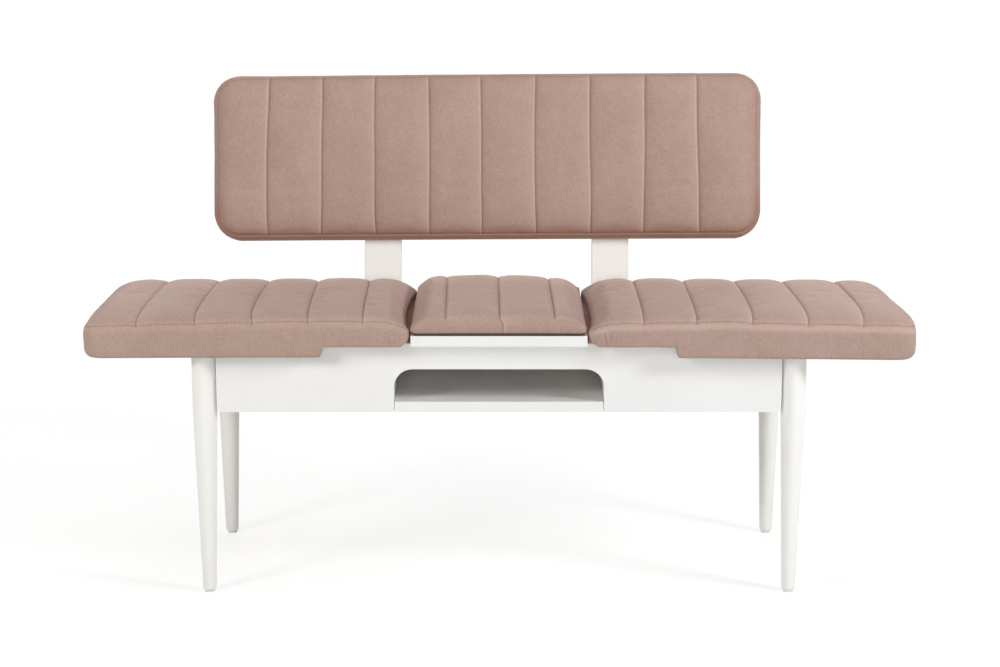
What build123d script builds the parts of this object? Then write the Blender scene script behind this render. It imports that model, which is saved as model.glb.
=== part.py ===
from build123d import *
import os
from collections import namedtuple
from math import cos, radians, sin, sqrt, tan

os.makedirs("parts", exist_ok=True)

# Seat, drawn out to its full width, in millimetres
SEAT_WIDTH = 1400.0
SEAT_DEPTH = 400.0
LEAF_WIDTH = 298.0
LEAF_GAP = 1.5
RAIL_TOP = 445.0
RAIL_HEIGHT = 120.0
BOARD = 18.0

# Legs and rails
LEG_SPACING = 1007.0
LEG_SETBACK = 48.0
LEG_TOP_D = 42.0
LEG_FOOT_D = 23.0
FOOT_ROUND = 3.0
GLIDE_D = 18.0
GLIDE_H = 4.0
GLIDE_PEG_D = 6.0
GLIDE_PEG = 14.0
RAIL_FORWARD = 15.0
RAIL_LEG_GAP = 1.0
TOP_RELIEF = 1.0

# Storage compartment behind the cut-out in the front rail
CUT_WIDTH = 358.0
CUT_HEIGHT = 75.0
CUT_ROUND = 32.0
SHELF_GAP = 0.8
DIVIDER_CLEAR = 6.0
SHELF_SCREW_INSET = 50.0

# Corner braces and leg bolts
BRACE_SPAN = 72.0
BRACE_FLANGE = 23.0
BRACE_T = 2.0
BRACE_H = 60.0
LEG_BOLT_D = 8.0
LEG_BOLT_START = 2.0
LEG_BOLT_TAIL = 11.0
LEG_NUT_FLAT = 13.0
LEG_NUT_H = 7.5
LEG_NUT_FLANGE = 17.5
BRACE_CLEAR = 6.0

# Slides under the two seats
SEAT_TRAVEL = 20.0
SLIDE_GAP = 0.3
CHANNEL_H = 22.0
CHANNEL_D = 14.0
CHANNEL_T = 1.5
CHANNEL_DROP = 8.0
CHANNEL_END = 4.0
STOP_LENGTH = 12.0
RUNNER_GAP = 1.0
RUNNER_DROP = 4.0
RUNNER_W = 22.0
RUNNER_INSET = 22.0
RUNNER_END = 14.5
SHOE_LENGTH = 40.0
SHOE_FIT = 0.5
SHOE_CLEAR = 1.0

# Upholstered seats
SEAT_BOARD = 16.0
SEAT_EDGE = 40.0
SEAT_CROWN = 13.0
SEAT_REAR_DROP = 7.0
SEAT_INNER_DROP = 13.0
BOARD_SETBACK = 16.0
FOAM_SETBACK = 30.0
LIP_DROP = 18.0
LIP_T = 16.0
LIP_WRAP = 6.0
NOTCH_LENGTH = 150.0
COVER_WALL = 4.0
COVER_GAP = 0.3
QUILT_T = 2.0
SEAT_CORNER = 16.0
CHANNEL_PITCH = 94.5
PUFF = 5.5
DRAW_IN = 1.5

# Centre leaf
LEAF_SETBACK = 8.0
LEAF_REAR = 4.0
LEAF_BASE = 8.0
LEAF_OVERHANG = 2.0
LEAF_PAD_INSET = 1.5
LEAF_LINE = 1.5
LEAF_EDGE = 31.0
LEAF_CROWN = 6.0
LEAF_REAR_DROP = 5.0
LEAF_SIDE_DROP = 5.0
CLEAT = 18.0
CLEAT_LENGTH = 240.0
CLEAT_GAP = 2.0

# Back
BACK_LEAN = 11.9
KINK_RISE = 28.0
POST_W = 68.0
POST_T = 22.0
POST_EASE = 2.0
POST_TOP_GAP = 45.0
POST_FOOT = 6.0
POST_NUT_ROOM = 13.0
POST_SHIFT = -4.5
POST_CLEAR = 8.0
POST_BOLT_LOW = 27.0
POST_BOLT_HIGH = 17.0
PAD_RISE = 84.0
PAD_WIDTH = 1007.0
PAD_HEIGHT = 300.0
PAD_SHIFT = -21.5
PAD_CORNER = 45.0
PAD_CLOTH = 1.5
PAD_CLOTH_INSET = 8.0
PAD_PANEL = 15.0
PAD_EDGE = 38.0
PAD_CROWN = 7.0
PAD_PITCH = 98.5
PAD_SEAM_SHIFT = -8.5

# Fasteners
DRILL_GAP = 0.1
SCREW_D = 4.0
SCREW_HEAD_D = 7.5
THIN_SCREW_D = 3.5
THIN_HEAD_D = 5.8
LONG_SCREW_D = 5.0
LONG_HEAD_D = 9.5
BOLT_D = 6.0
BOLT_HEAD_D = 12.0
BITE = 12.0
LONG_BITE = 30.0
BOLT_TAIL = 7.0
SCREW_SHORT = 1.0
DOWEL_D = 8.0
DOWEL_IN_RAIL = 11.0
DOWEL_IN_DIVIDER = 18.0
TEE_FLANGE_D = 18.0
TEE_FLANGE_T = 1.5
TEE_BARREL_D = 9.0
TEE_DEPTH = 13.0
NUT_FLANGE_T = 1.2
POST_NUT_FLAT = 10.0
POST_NUT_H = 5.5
POST_NUT_FLANGE = 14.0

# Places that follow from the sizes above
TOP = (Align.CENTER, Align.CENTER, Align.MAX)
BASE = (Align.CENTER, Align.CENTER, Align.MIN)
LEAN_SIN = sin(radians(BACK_LEAN))
LEAN_COS = cos(radians(BACK_LEAN))
LEG_X = LEG_SPACING / 2
LEG_DEPTH = SEAT_DEPTH + POST_CLEAR - RAIL_FORWARD - LEG_SETBACK
RAIL_BOTTOM = RAIL_TOP - RAIL_HEIGHT
RAIL_HALF = LEG_X - LEG_TOP_D / 2 - RAIL_LEG_GAP
RAIL_IN = BOARD - RAIL_FORWARD
END_IN = BOARD / 2
RAIL_OUT_HALF = LEG_DEPTH / 2 + RAIL_FORWARD
RAIL_IN_HALF = RAIL_OUT_HALF - BOARD
CUT_HALF = CUT_WIDTH / 2
POST_X = CUT_HALF + BOARD + POST_NUT_ROOM
POST_FRONT = SEAT_DEPTH + POST_CLEAR
POST_REACH = PAD_RISE + PAD_HEIGHT - POST_TOP_GAP
KINK_Z = RAIL_TOP + KINK_RISE
DEPTH_AT_POST = POST_FRONT + POST_REACH * LEAN_SIN + POST_T * LEAN_COS
DEPTH_AT_PAD = POST_FRONT + (PAD_RISE + PAD_HEIGHT) * LEAN_SIN
FRONT_Y = -max(DEPTH_AT_POST, DEPTH_AT_PAD) / 2
FRAME_Y = FRONT_Y + LEG_SETBACK + LEG_DEPTH / 2
CHANNEL_TOP = RAIL_TOP - CHANNEL_DROP
CHANNEL_BOTTOM = CHANNEL_TOP - CHANNEL_H
CHANNEL_MID = (CHANNEL_TOP + CHANNEL_BOTTOM) / 2
CHANNEL_HALF = RAIL_HALF - CHANNEL_END
STOP_D = CHANNEL_D - SHOE_CLEAR
SHOE_IN = CHANNEL_T + SHOE_CLEAR
RUNNER_D = CHANNEL_D + RUNNER_GAP
RUNNER_BOTTOM = CHANNEL_BOTTOM - RUNNER_DROP
DIVIDER_HEIGHT = RUNNER_BOTTOM - DIVIDER_CLEAR - RAIL_BOTTOM
SEAT_BASE = RAIL_TOP + SLIDE_GAP
BOARD_TOP = SLIDE_GAP + SEAT_BOARD
FOAM_TOP = SEAT_EDGE - SEAT_REAR_DROP - QUILT_T
SEAT_IN = LEAF_WIDTH / 2 + LEAF_GAP
SEAT_OUT = SEAT_WIDTH / 2
SEAT_LENGTH = SEAT_OUT - SEAT_IN
SEAT_MID = (SEAT_OUT + SEAT_IN) / 2
LIP_W = COVER_WALL + LIP_T
LIP_BOTTOM = RAIL_TOP - LIP_DROP + LIP_WRAP
NOTCH_X = SEAT_IN + NOTCH_LENGTH
RUNNER_IN = SEAT_IN + RUNNER_INSET
RUNNER_OUT = LEG_X - END_IN - SEAT_TRAVEL - RUNNER_END
SHOE_OUT = CHANNEL_HALF - STOP_LENGTH - SEAT_TRAVEL - SLIDE_GAP
SHOE_X = (RUNNER_IN + SHOE_LENGTH / 2, SHOE_OUT - SHOE_LENGTH / 2)
BRACE_TOP = RUNNER_BOTTOM - BRACE_CLEAR
BRACE_MID = BRACE_TOP - BRACE_H / 2
BRACE_LINE = END_IN + RAIL_IN + BRACE_SPAN
LEAF_TOP = RAIL_TOP + BOARD
LEAF_FOAM_TOP = LEAF_EDGE - LEAF_REAR_DROP - LEAF_SIDE_DROP - QUILT_T
LEAF_LENGTH = SEAT_DEPTH - LEAF_SETBACK - LEAF_REAR
LEAF_PAD_WIDTH = LEAF_WIDTH - 2 * LEAF_PAD_INSET
LEAF_PAD_LENGTH = LEAF_LENGTH + LEAF_OVERHANG
LEAN_PLANE = Plane((0, FRONT_Y + POST_FRONT, KINK_Z), x_dir=(1, 0, 0), z_dir=(0, -LEAN_COS, LEAN_SIN))
PAD_PLANE = Plane(
    LEAN_PLANE.from_local_coords((PAD_SHIFT, PAD_RISE, 0)),
    x_dir=(1, 0, 0),
    z_dir=LEAN_PLANE.z_dir,
)
SIDES = (("left", -1), ("right", 1))
ENDS = (("front", -1), ("rear", 1))


def back(distance):
    """The y of a point this far behind the front face of the seats."""
    return FRONT_Y + distance


def post_mid(side):
    """The x of a post's middle; the pair stands a little to the left of the frame's middle."""
    return POST_SHIFT + side * POST_X


def inward(end, distance):
    """The y of a point this far inside the inner face of the front (-1) or rear (1) rail."""
    return FRAME_Y + end * (RAIL_IN_HALF - distance)


def corner(side, end, dx, dy):
    """Plan place of a point measured inwards from the centre of one leg."""
    return (side * (LEG_X - dx), FRAME_Y + end * (LEG_DEPTH / 2 - dy))


def save(piece, label):
    """Name a finished piece and write it as its own STEP file."""
    piece.label = label
    export_step(piece, f"parts/{label}.step")


def drive(places, screw):
    """Add countersunk screws, one per place, heads flush and shanks along the place's -Z."""
    with Locations(*places):
        Cone(screw.radius, screw.head, screw.head - screw.radius, align=TOP)
        Cylinder(screw.radius, screw.length, align=TOP)


def bore(places, screw):
    """Cut the holes that those screws go in."""
    with Locations(*places):
        CounterSinkHole(
            screw.radius + DRILL_GAP, screw.head + DRILL_GAP, screw.length + DRILL_GAP, 90
        )


def nuts(places, bolt_radius, flat, height, flange):
    """Add flange nuts that sit on each place and stand up along its +Z."""
    for place in places:
        with BuildSketch(place) as hexagon:
            RegularPolygon(flat / 2, 6, major_radius=False)
        extrude(hexagon.sketch, amount=height)
    with Locations(*places):
        Cylinder(flange / 2, NUT_FLANGE_T, align=BASE)
        Cylinder(bolt_radius + DRILL_GAP, 3 * height, mode=Mode.SUBTRACT)


# Screws by radius, head radius and length; each bites a set depth into its last piece
Screw = namedtuple("Screw", "radius head length")
CHANNEL_SCREW = Screw(THIN_SCREW_D / 2, THIN_HEAD_D / 2, CHANNEL_T + BITE)
STOP_SCREW = Screw(THIN_SCREW_D / 2, THIN_HEAD_D / 2, STOP_D + BITE)
SHOE_SCREW = Screw(SCREW_D / 2, SCREW_HEAD_D / 2, RUNNER_D - SHOE_IN + BITE)
RUNNER_SCREW = Screw(LONG_SCREW_D / 2, LONG_HEAD_D / 2, SEAT_BASE - RUNNER_BOTTOM + BITE)
LIP_SCREW = Screw(SCREW_D / 2, SCREW_HEAD_D / 2, SEAT_BASE - LIP_BOTTOM + BITE)
BRACE_SCREW = Screw(SCREW_D / 2, SCREW_HEAD_D / 2, BRACE_T + BITE)
SHELF_SCREW = Screw(LONG_SCREW_D / 2, LONG_HEAD_D / 2, BOARD + LONG_BITE)
CLEAT_SCREW = Screw(SCREW_D / 2, SCREW_HEAD_D / 2, CLEAT + BITE)
BASE_SCREW = Screw(SCREW_D / 2, SCREW_HEAD_D / 2, BOARD + LEAF_BASE - SCREW_SHORT)
POST_BOLT = Screw(BOLT_D / 2, BOLT_HEAD_D / 2, POST_T + BOARD + BOLT_TAIL)
BACK_SCREW = Screw(BOLT_D / 2, BOLT_HEAD_D / 2, POST_T + PAD_CLOTH + PAD_PANEL - SCREW_SHORT)

# Where every fastener goes, each place looking out of its head
CHANNEL_SCREWS = {
    end: [
        Plane((share * CHANNEL_HALF, inward(end, CHANNEL_T), CHANNEL_MID), z_dir=(0, -end, 0))
        for share in (-0.7, -0.35, 0.35, 0.7)
    ]
    for _, end in ENDS
}
STOP_X = (-(CHANNEL_HALF - STOP_LENGTH / 2), 0.0, CHANNEL_HALF - STOP_LENGTH / 2)
STOP_SCREWS = {
    end: [Plane((x, inward(end, STOP_D), CHANNEL_MID), z_dir=(0, -end, 0)) for x in STOP_X]
    for _, end in ENDS
}
SHELF_SCREWS = {
    side: [
        Plane((side * (CUT_HALF + BOARD), y, RAIL_BOTTOM + BOARD / 2), z_dir=(side, 0, 0))
        for y in (inward(-1, SHELF_SCREW_INSET), FRAME_Y, inward(1, SHELF_SCREW_INSET))
    ]
    for _, side in SIDES
}
DOWELS = {
    (side, end): [
        Plane(
            (side * (CUT_HALF + BOARD / 2), inward(end, DOWEL_IN_DIVIDER), RAIL_BOTTOM + rise),
            z_dir=(0, end, 0),
        )
        for rise in (0.25 * DIVIDER_HEIGHT, 0.75 * DIVIDER_HEIGHT)
    ]
    for _, side in SIDES
    for _, end in ENDS
}
RAIL_BRACE_SCREWS = {
    (side, end): [
        Plane(
            (*corner(side, end, END_IN + BRACE_SPAN + BRACE_FLANGE / 2, RAIL_IN + BRACE_T), BRACE_MID + rise),
            z_dir=(0, -end, 0),
        )
        for rise in (-0.3 * BRACE_H, 0.3 * BRACE_H)
    ]
    for _, side in SIDES
    for _, end in ENDS
}
END_BRACE_SCREWS = {
    (side, end): [
        Plane(
            (*corner(side, end, END_IN + BRACE_T, RAIL_IN + BRACE_SPAN + BRACE_FLANGE / 2), BRACE_MID + rise),
            z_dir=(-side, 0, 0),
        )
        for rise in (-0.3 * BRACE_H, 0.3 * BRACE_H)
    ]
    for _, side in SIDES
    for _, end in ENDS
}
POST_BOLT_Z = (RAIL_BOTTOM + POST_BOLT_LOW, CHANNEL_BOTTOM - POST_BOLT_HIGH)
POST_BOLTS = {
    side: [Plane((post_mid(side), back(POST_FRONT + POST_T), z), z_dir=(0, 1, 0)) for z in POST_BOLT_Z]
    for _, side in SIDES
}
BACK_SCREWS = {
    side: [
        Plane(
            LEAN_PLANE.from_local_coords((post_mid(side), PAD_RISE + share * PAD_HEIGHT, -POST_T)),
            z_dir=-LEAN_PLANE.z_dir,
        )
        for share in (0.18, 0.46, 0.74)
    ]
    for _, side in SIDES
}
RUNNER_SCREWS = {
    (side, end): [
        Plane(
            (side * (RUNNER_IN + share * (RUNNER_OUT - RUNNER_IN)), y, RUNNER_BOTTOM),
            z_dir=(0, 0, -1),
        )
        for share in (0.25, 0.5, 0.75)
        for y in [inward(end, RUNNER_D + RUNNER_W / 2)]
    ]
    for _, side in SIDES
    for _, end in ENDS
}
SHOE_SCREWS = {
    (side, end): [
        Plane((side * x, inward(end, SHOE_IN), CHANNEL_MID), z_dir=(0, end, 0)) for x in SHOE_X
    ]
    for _, side in SIDES
    for _, end in ENDS
}
LIP_START = NOTCH_X + COVER_WALL
FRONT_LIP_SCREWS = {
    side: [
        Plane(
            (side * (LIP_START + share * (SEAT_OUT - LIP_START)), back(COVER_WALL + LIP_T / 2), LIP_BOTTOM),
            z_dir=(0, 0, -1),
        )
        for share in (0.08, 0.34, 0.62, 0.88)
    ]
    for _, side in SIDES
}
END_LIP_SCREWS = {
    side: [
        Plane(
            (side * (SEAT_OUT - COVER_WALL - LIP_T / 2), back(share * SEAT_DEPTH), LIP_BOTTOM),
            z_dir=(0, 0, -1),
        )
        for share in (0.15, 0.5, 0.85)
    ]
    for _, side in SIDES
}
CLEAT_SCREWS = [
    Plane((x, inward(end, CHANNEL_D + CLEAT_GAP + CLEAT / 2), RAIL_TOP - CLEAT), z_dir=(0, 0, -1))
    for x in (-0.35 * CLEAT_LENGTH, 0.35 * CLEAT_LENGTH)
    for _, end in ENDS
]
BASE_SCREWS = [
    Plane((x, FRAME_Y + end * 0.22 * LEG_DEPTH, RAIL_TOP), z_dir=(0, 0, -1))
    for x in (-0.3 * LEAF_WIDTH, 0.3 * LEAF_WIDTH)
    for _, end in ENDS
]


# Rails, end boards and the storage compartment
def rail(end):
    """One plain rail, drilled for everything that is screwed to its inner face."""
    with BuildPart() as blank:
        with BuildSketch(Plane.XZ.offset(-(FRAME_Y + end * RAIL_OUT_HALF))):
            with Locations((0, RAIL_TOP - RAIL_HEIGHT / 2)):
                Rectangle(2 * RAIL_HALF, RAIL_HEIGHT)
        extrude(amount=end * BOARD)
        bore(CHANNEL_SCREWS[end], CHANNEL_SCREW)
        bore(STOP_SCREWS[end], STOP_SCREW)
        for _, side in SIDES:
            bore(RAIL_BRACE_SCREWS[side, end], BRACE_SCREW)
            with Locations(*DOWELS[side, end]):
                Cylinder(
                    DOWEL_D / 2 + DRILL_GAP,
                    DOWEL_IN_DIVIDER + DOWEL_IN_RAIL + DRILL_GAP,
                    align=BASE,
                    mode=Mode.SUBTRACT,
                )
    return blank.part


front_blank = rail(-1)
with BuildPart() as front_rail:
    add(front_blank)
    with BuildSketch(Plane.XZ.offset(-back(LEG_SETBACK - RAIL_FORWARD))):
        with Locations((0, RAIL_BOTTOM)):
            RectangleRounded(CUT_WIDTH, 2 * CUT_HEIGHT, CUT_ROUND)
    extrude(amount=BOARD, both=True, mode=Mode.SUBTRACT)
save(front_rail.part, "front_rail")

rear_blank = rail(1)
with BuildPart() as rear_rail:
    add(rear_blank)
    for _, side in SIDES:
        bore(POST_BOLTS[side], POST_BOLT)
save(rear_rail.part, "rear_rail")

for name, side in SIDES:
    with BuildPart() as end_board:
        with BuildSketch(Plane.XY.offset(RAIL_BOTTOM)):
            with Locations((side * LEG_X, FRAME_Y)):
                Rectangle(BOARD, LEG_DEPTH - LEG_TOP_D - 2 * RAIL_LEG_GAP)
        extrude(amount=RAIL_HEIGHT - TOP_RELIEF)
        for _, end in ENDS:
            bore(END_BRACE_SCREWS[side, end], BRACE_SCREW)
    save(end_board.part, f"{name}_end_board")

    with BuildPart() as divider:
        with BuildSketch(Plane.XY.offset(RAIL_BOTTOM)):
            with Locations((side * (CUT_HALF + BOARD / 2), FRAME_Y)):
                Rectangle(BOARD, 2 * RAIL_IN_HALF)
        extrude(amount=DIVIDER_HEIGHT)
        bore(SHELF_SCREWS[side], SHELF_SCREW)
        for _, end in ENDS:
            with Locations(*DOWELS[side, end]):
                Cylinder(
                    DOWEL_D / 2 + DRILL_GAP,
                    2 * DOWEL_IN_DIVIDER + DRILL_GAP,
                    mode=Mode.SUBTRACT,
                )
    save(divider.part, f"{name}_shelf_divider")

with BuildPart() as storage_shelf:
    with BuildSketch(Plane.XY.offset(RAIL_BOTTOM)):
        with Locations((0, FRAME_Y - (RAIL_OUT_HALF - RAIL_IN_HALF) / 2)):
            Rectangle(CUT_WIDTH - 2 * SHELF_GAP, RAIL_OUT_HALF + RAIL_IN_HALF)
    extrude(amount=BOARD)
    for _, side in SIDES:
        bore(SHELF_SCREWS[side], SHELF_SCREW)
save(storage_shelf.part, "storage_shelf")

with BuildPart() as shelf_screws:
    for _, side in SIDES:
        drive(SHELF_SCREWS[side], SHELF_SCREW)
save(shelf_screws.part, "shelf_screws")

with BuildPart() as divider_dowels:
    for places in DOWELS.values():
        with Locations(*places):
            Cylinder(DOWEL_D / 2, DOWEL_IN_DIVIDER + DOWEL_IN_RAIL, align=BASE)
save(divider_dowels.part, "divider_dowels")

# Legs with their glides, corner braces and bolts
FOOT_R = LEG_FOOT_D / 2
BRACE_BEND = BRACE_T * tan(radians(22.5))
BOLT_SEAT = BRACE_LINE / sqrt(2) + BRACE_T
LEG_BOLTS = {
    (side, end): Plane((*corner(side, end, 0, 0), BRACE_MID), z_dir=(-side, -end, 0))
    for _, side in SIDES
    for _, end in ENDS
}
NUT_PLACES = [place.offset(BOLT_SEAT) for place in LEG_BOLTS.values()]

for row, end in ENDS:
    for name, side in SIDES:
        foot_x, foot_y = corner(side, end, 0, 0)
        with BuildPart() as leg:
            with BuildSketch(Plane((foot_x, foot_y, 0), x_dir=(1, 0, 0), z_dir=(0, -1, 0))):
                with BuildLine():
                    Polyline(
                        (0, GLIDE_H),
                        (FOOT_R, GLIDE_H),
                        (LEG_TOP_D / 2, RAIL_BOTTOM),
                        (LEG_TOP_D / 2, RAIL_TOP - TOP_RELIEF),
                        (0, RAIL_TOP - TOP_RELIEF),
                        close=True,
                    )
                make_face()
            revolve(axis=Axis((foot_x, foot_y, 0), (0, 0, 1)))
            fillet(leg.edges().group_by(Axis.Z)[0], FOOT_ROUND)
            with Locations(LEG_BOLTS[side, end].offset(LEG_BOLT_START - DRILL_GAP)):
                Cylinder(LEG_BOLT_D / 2 + DRILL_GAP, LEG_TOP_D, align=BASE, mode=Mode.SUBTRACT)
            with Locations((foot_x, foot_y, GLIDE_H)):
                Cylinder(GLIDE_PEG_D / 2 + DRILL_GAP, 2 * GLIDE_PEG + DRILL_GAP, mode=Mode.SUBTRACT)
        save(leg.part, f"{row}_{name}_leg")

        with BuildPart() as brace:
            with BuildSketch(Plane.XY.offset(BRACE_TOP - BRACE_H)):
                with BuildLine():
                    Polyline(
                        corner(side, end, END_IN + BRACE_SPAN + BRACE_FLANGE, RAIL_IN),
                        corner(side, end, END_IN + BRACE_SPAN, RAIL_IN),
                        corner(side, end, END_IN, RAIL_IN + BRACE_SPAN),
                        corner(side, end, END_IN, RAIL_IN + BRACE_SPAN + BRACE_FLANGE),
                        corner(side, end, END_IN + BRACE_T, RAIL_IN + BRACE_SPAN + BRACE_FLANGE),
                        corner(side, end, END_IN + BRACE_T, RAIL_IN + BRACE_SPAN + BRACE_BEND),
                        corner(side, end, END_IN + BRACE_SPAN + BRACE_BEND, RAIL_IN + BRACE_T),
                        corner(side, end, END_IN + BRACE_SPAN + BRACE_FLANGE, RAIL_IN + BRACE_T),
                        close=True,
                    )
                make_face()
            extrude(amount=BRACE_H)
            bore(RAIL_BRACE_SCREWS[side, end], BRACE_SCREW)
            bore(END_BRACE_SCREWS[side, end], BRACE_SCREW)
            with Locations(LEG_BOLTS[side, end]):
                Cylinder(LEG_BOLT_D / 2 + 2 * DRILL_GAP, 2 * BOLT_SEAT + 10, mode=Mode.SUBTRACT)
        save(brace.part, f"{row}_{name}_brace")

with BuildPart() as leg_glides:
    with Locations(*[(*corner(side, end, 0, 0), 0) for side, end in LEG_BOLTS]):
        Cylinder(GLIDE_D / 2, GLIDE_H, align=BASE)
        Cylinder(GLIDE_PEG_D / 2, GLIDE_H + GLIDE_PEG, align=BASE)
save(leg_glides.part, "leg_glides")

with BuildPart() as brace_screws:
    for key in LEG_BOLTS:
        drive(RAIL_BRACE_SCREWS[key], BRACE_SCREW)
        drive(END_BRACE_SCREWS[key], BRACE_SCREW)
save(brace_screws.part, "brace_screws")

with BuildPart() as leg_hanger_bolts:
    with Locations(*[place.offset(LEG_BOLT_START) for place in LEG_BOLTS.values()]):
        Cylinder(LEG_BOLT_D / 2, BOLT_SEAT + LEG_BOLT_TAIL - LEG_BOLT_START, align=BASE)
save(leg_hanger_bolts.part, "leg_hanger_bolts")

with BuildPart() as leg_flange_nuts:
    nuts(NUT_PLACES, LEG_BOLT_D / 2, LEG_NUT_FLAT, LEG_NUT_H, LEG_NUT_FLANGE)
save(leg_flange_nuts.part, "leg_flange_nuts")

# Steel channels that the seat runners slide along
for row, end in ENDS:
    with BuildPart() as channel:
        with BuildSketch(Plane.YZ.offset(-CHANNEL_HALF)):
            with BuildLine():
                Polyline(
                    (inward(end, 0), CHANNEL_BOTTOM),
                    (inward(end, CHANNEL_D), CHANNEL_BOTTOM),
                    (inward(end, CHANNEL_D), CHANNEL_BOTTOM + CHANNEL_T),
                    (inward(end, CHANNEL_T), CHANNEL_BOTTOM + CHANNEL_T),
                    (inward(end, CHANNEL_T), CHANNEL_TOP - CHANNEL_T),
                    (inward(end, CHANNEL_D), CHANNEL_TOP - CHANNEL_T),
                    (inward(end, CHANNEL_D), CHANNEL_TOP),
                    (inward(end, 0), CHANNEL_TOP),
                    close=True,
                )
            make_face()
        extrude(amount=2 * CHANNEL_HALF)
        bore(CHANNEL_SCREWS[end], CHANNEL_SCREW)
        bore(STOP_SCREWS[end], STOP_SCREW)
    save(channel.part, f"{row}_channel")

with BuildPart() as channel_stops:
    for _, end in ENDS:
        mid_d = (CHANNEL_T + STOP_D) / 2
        with Locations(*[(x, inward(end, mid_d), CHANNEL_MID) for x in STOP_X]):
            Box(STOP_LENGTH, STOP_D - CHANNEL_T, CHANNEL_H - 2 * CHANNEL_T - 2 * SHOE_FIT)
        bore(STOP_SCREWS[end], STOP_SCREW)
save(channel_stops.part, "channel_stops")

with BuildPart() as channel_screws:
    for _, end in ENDS:
        drive(CHANNEL_SCREWS[end], CHANNEL_SCREW)
        drive(STOP_SCREWS[end], STOP_SCREW)
save(channel_screws.part, "channel_screws")

# Back posts, upright along the rail and leaning above the kink
POST_BEND = POST_T * tan(radians(BACK_LEAN / 2))
for name, side in SIDES:
    with BuildPart() as post:
        kink_y = back(POST_FRONT)
        top_y = kink_y + POST_REACH * LEAN_SIN
        top_z = KINK_Z + POST_REACH * LEAN_COS
        with BuildSketch(Plane.YZ.offset(post_mid(side) - POST_W / 2)):
            with BuildLine():
                Polyline(
                    (kink_y, RAIL_BOTTOM + POST_FOOT),
                    (kink_y, KINK_Z),
                    (top_y, top_z),
                    (top_y + POST_T * LEAN_COS, top_z - POST_T * LEAN_SIN),
                    (kink_y + POST_T, KINK_Z - POST_BEND),
                    (kink_y + POST_T, RAIL_BOTTOM + POST_FOOT),
                    close=True,
                )
            make_face()
        extrude(amount=POST_W)
        fillet(post.faces().filter_by(Axis.X).edges(), POST_EASE)
        bore(POST_BOLTS[side], POST_BOLT)
        bore(BACK_SCREWS[side], BACK_SCREW)
    save(post.part, f"{name}_back_post")

with BuildPart() as post_bolts:
    for _, side in SIDES:
        drive(POST_BOLTS[side], POST_BOLT)
save(post_bolts.part, "post_bolts")

with BuildPart() as post_nuts:
    nut_seats = [
        Plane((post_mid(side), inward(1, 0), z), z_dir=(0, -1, 0)) for _, side in SIDES for z in POST_BOLT_Z
    ]
    nuts(nut_seats, POST_BOLT.radius, POST_NUT_FLAT, POST_NUT_H, POST_NUT_FLANGE)
save(post_nuts.part, "post_nuts")


# Quilted covers: lofts of scalloped sections, trimmed to an outline whose sides draw in
STATIONS = (0.0, 0.06, 0.25, 0.5, 0.75, 0.94, 1.0)
Quilt = namedtuple("Quilt", "width length low edge crown drop corner pitch count shift")


def seam_places(quilt):
    """Across places of the sewn seams."""
    return [
        quilt.shift + quilt.pitch * (i - (quilt.count - 1) / 2) for i in range(quilt.count)
    ]


def quilted(face, quilt, left_drop=0.0, right_drop=0.0):
    """A crowned cushion with sewn channels; the face runs across, along and out of it."""
    xs = [-quilt.width / 2, *seam_places(quilt), quilt.width / 2]
    with BuildPart() as cushion:
        for share in STATIONS:
            swell = sqrt(1 - abs(2 * share - 1) ** 4)
            edge = quilt.edge - quilt.drop * share
            valley = edge + quilt.crown * swell
            puff = PUFF * (0.2 + 0.8 * swell)
            zs = [edge - left_drop, *[valley] * quilt.count, edge - right_drop]
            section = Plane(
                face.from_local_coords((0, share * quilt.length, 0)), x_dir=face.x_dir, z_dir=-face.y_dir
            )
            with BuildSketch(section):
                with BuildLine():
                    for i in range(len(xs) - 1):
                        end_channel = i in (0, len(xs) - 2)
                        top = 0.2 * edge + 0.8 * valley + 0.8 * puff if end_channel else valley + puff
                        ThreePointArc(
                            (xs[i], zs[i]), ((xs[i] + xs[i + 1]) / 2, top), (xs[i + 1], zs[i + 1])
                        )
                    Polyline((xs[-1], zs[-1]), (xs[-1], quilt.low), (xs[0], quilt.low), (xs[0], zs[0]))
                make_face()
        loft()
        with BuildSketch(face.offset(quilt.low)):
            half = quilt.width / 2
            with BuildLine():
                ThreePointArc((-half, 0), (0, DRAW_IN), (half, 0))
                ThreePointArc((half, 0), (half - DRAW_IN, quilt.length / 2), (half, quilt.length))
                ThreePointArc((half, quilt.length), (0, quilt.length - DRAW_IN), (-half, quilt.length))
                ThreePointArc((-half, quilt.length), (DRAW_IN - half, quilt.length / 2), (-half, 0))
            outline = make_face()
            fillet(outline.vertices(), quilt.corner)
        extrude(amount=quilt.edge + 2 * quilt.crown + 2 * PUFF - quilt.low, mode=Mode.INTERSECT)
    return cushion.part


def slab(face, quilt, inset, low, high, mode=Mode.ADD):
    """A flat layer that follows a cushion's outline, drawn in by an inset."""
    with BuildSketch(face.offset(low)) as layer:
        with Locations((0, quilt.length / 2)):
            RectangleRounded(quilt.width - 2 * inset, quilt.length - 2 * inset, quilt.corner - inset)
    extrude(layer.sketch, amount=high - low, mode=mode)


# Padded back
PAD = Quilt(
    PAD_WIDTH, PAD_HEIGHT, PAD_CLOTH, PAD_EDGE, PAD_CROWN, 0.0, PAD_CORNER, PAD_PITCH, 9, PAD_SEAM_SHIFT
)
PANEL_FRONT = PAD_CLOTH + PAD_PANEL
PAD_FOAM_FRONT = PAD_EDGE - QUILT_T
ALL_BACK_SCREWS = [place for places in BACK_SCREWS.values() for place in places]
TEE_PLACES = [
    Plane(place.offset(-POST_T - PANEL_FRONT).origin, z_dir=PAD_PLANE.z_dir) for place in ALL_BACK_SCREWS
]

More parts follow.
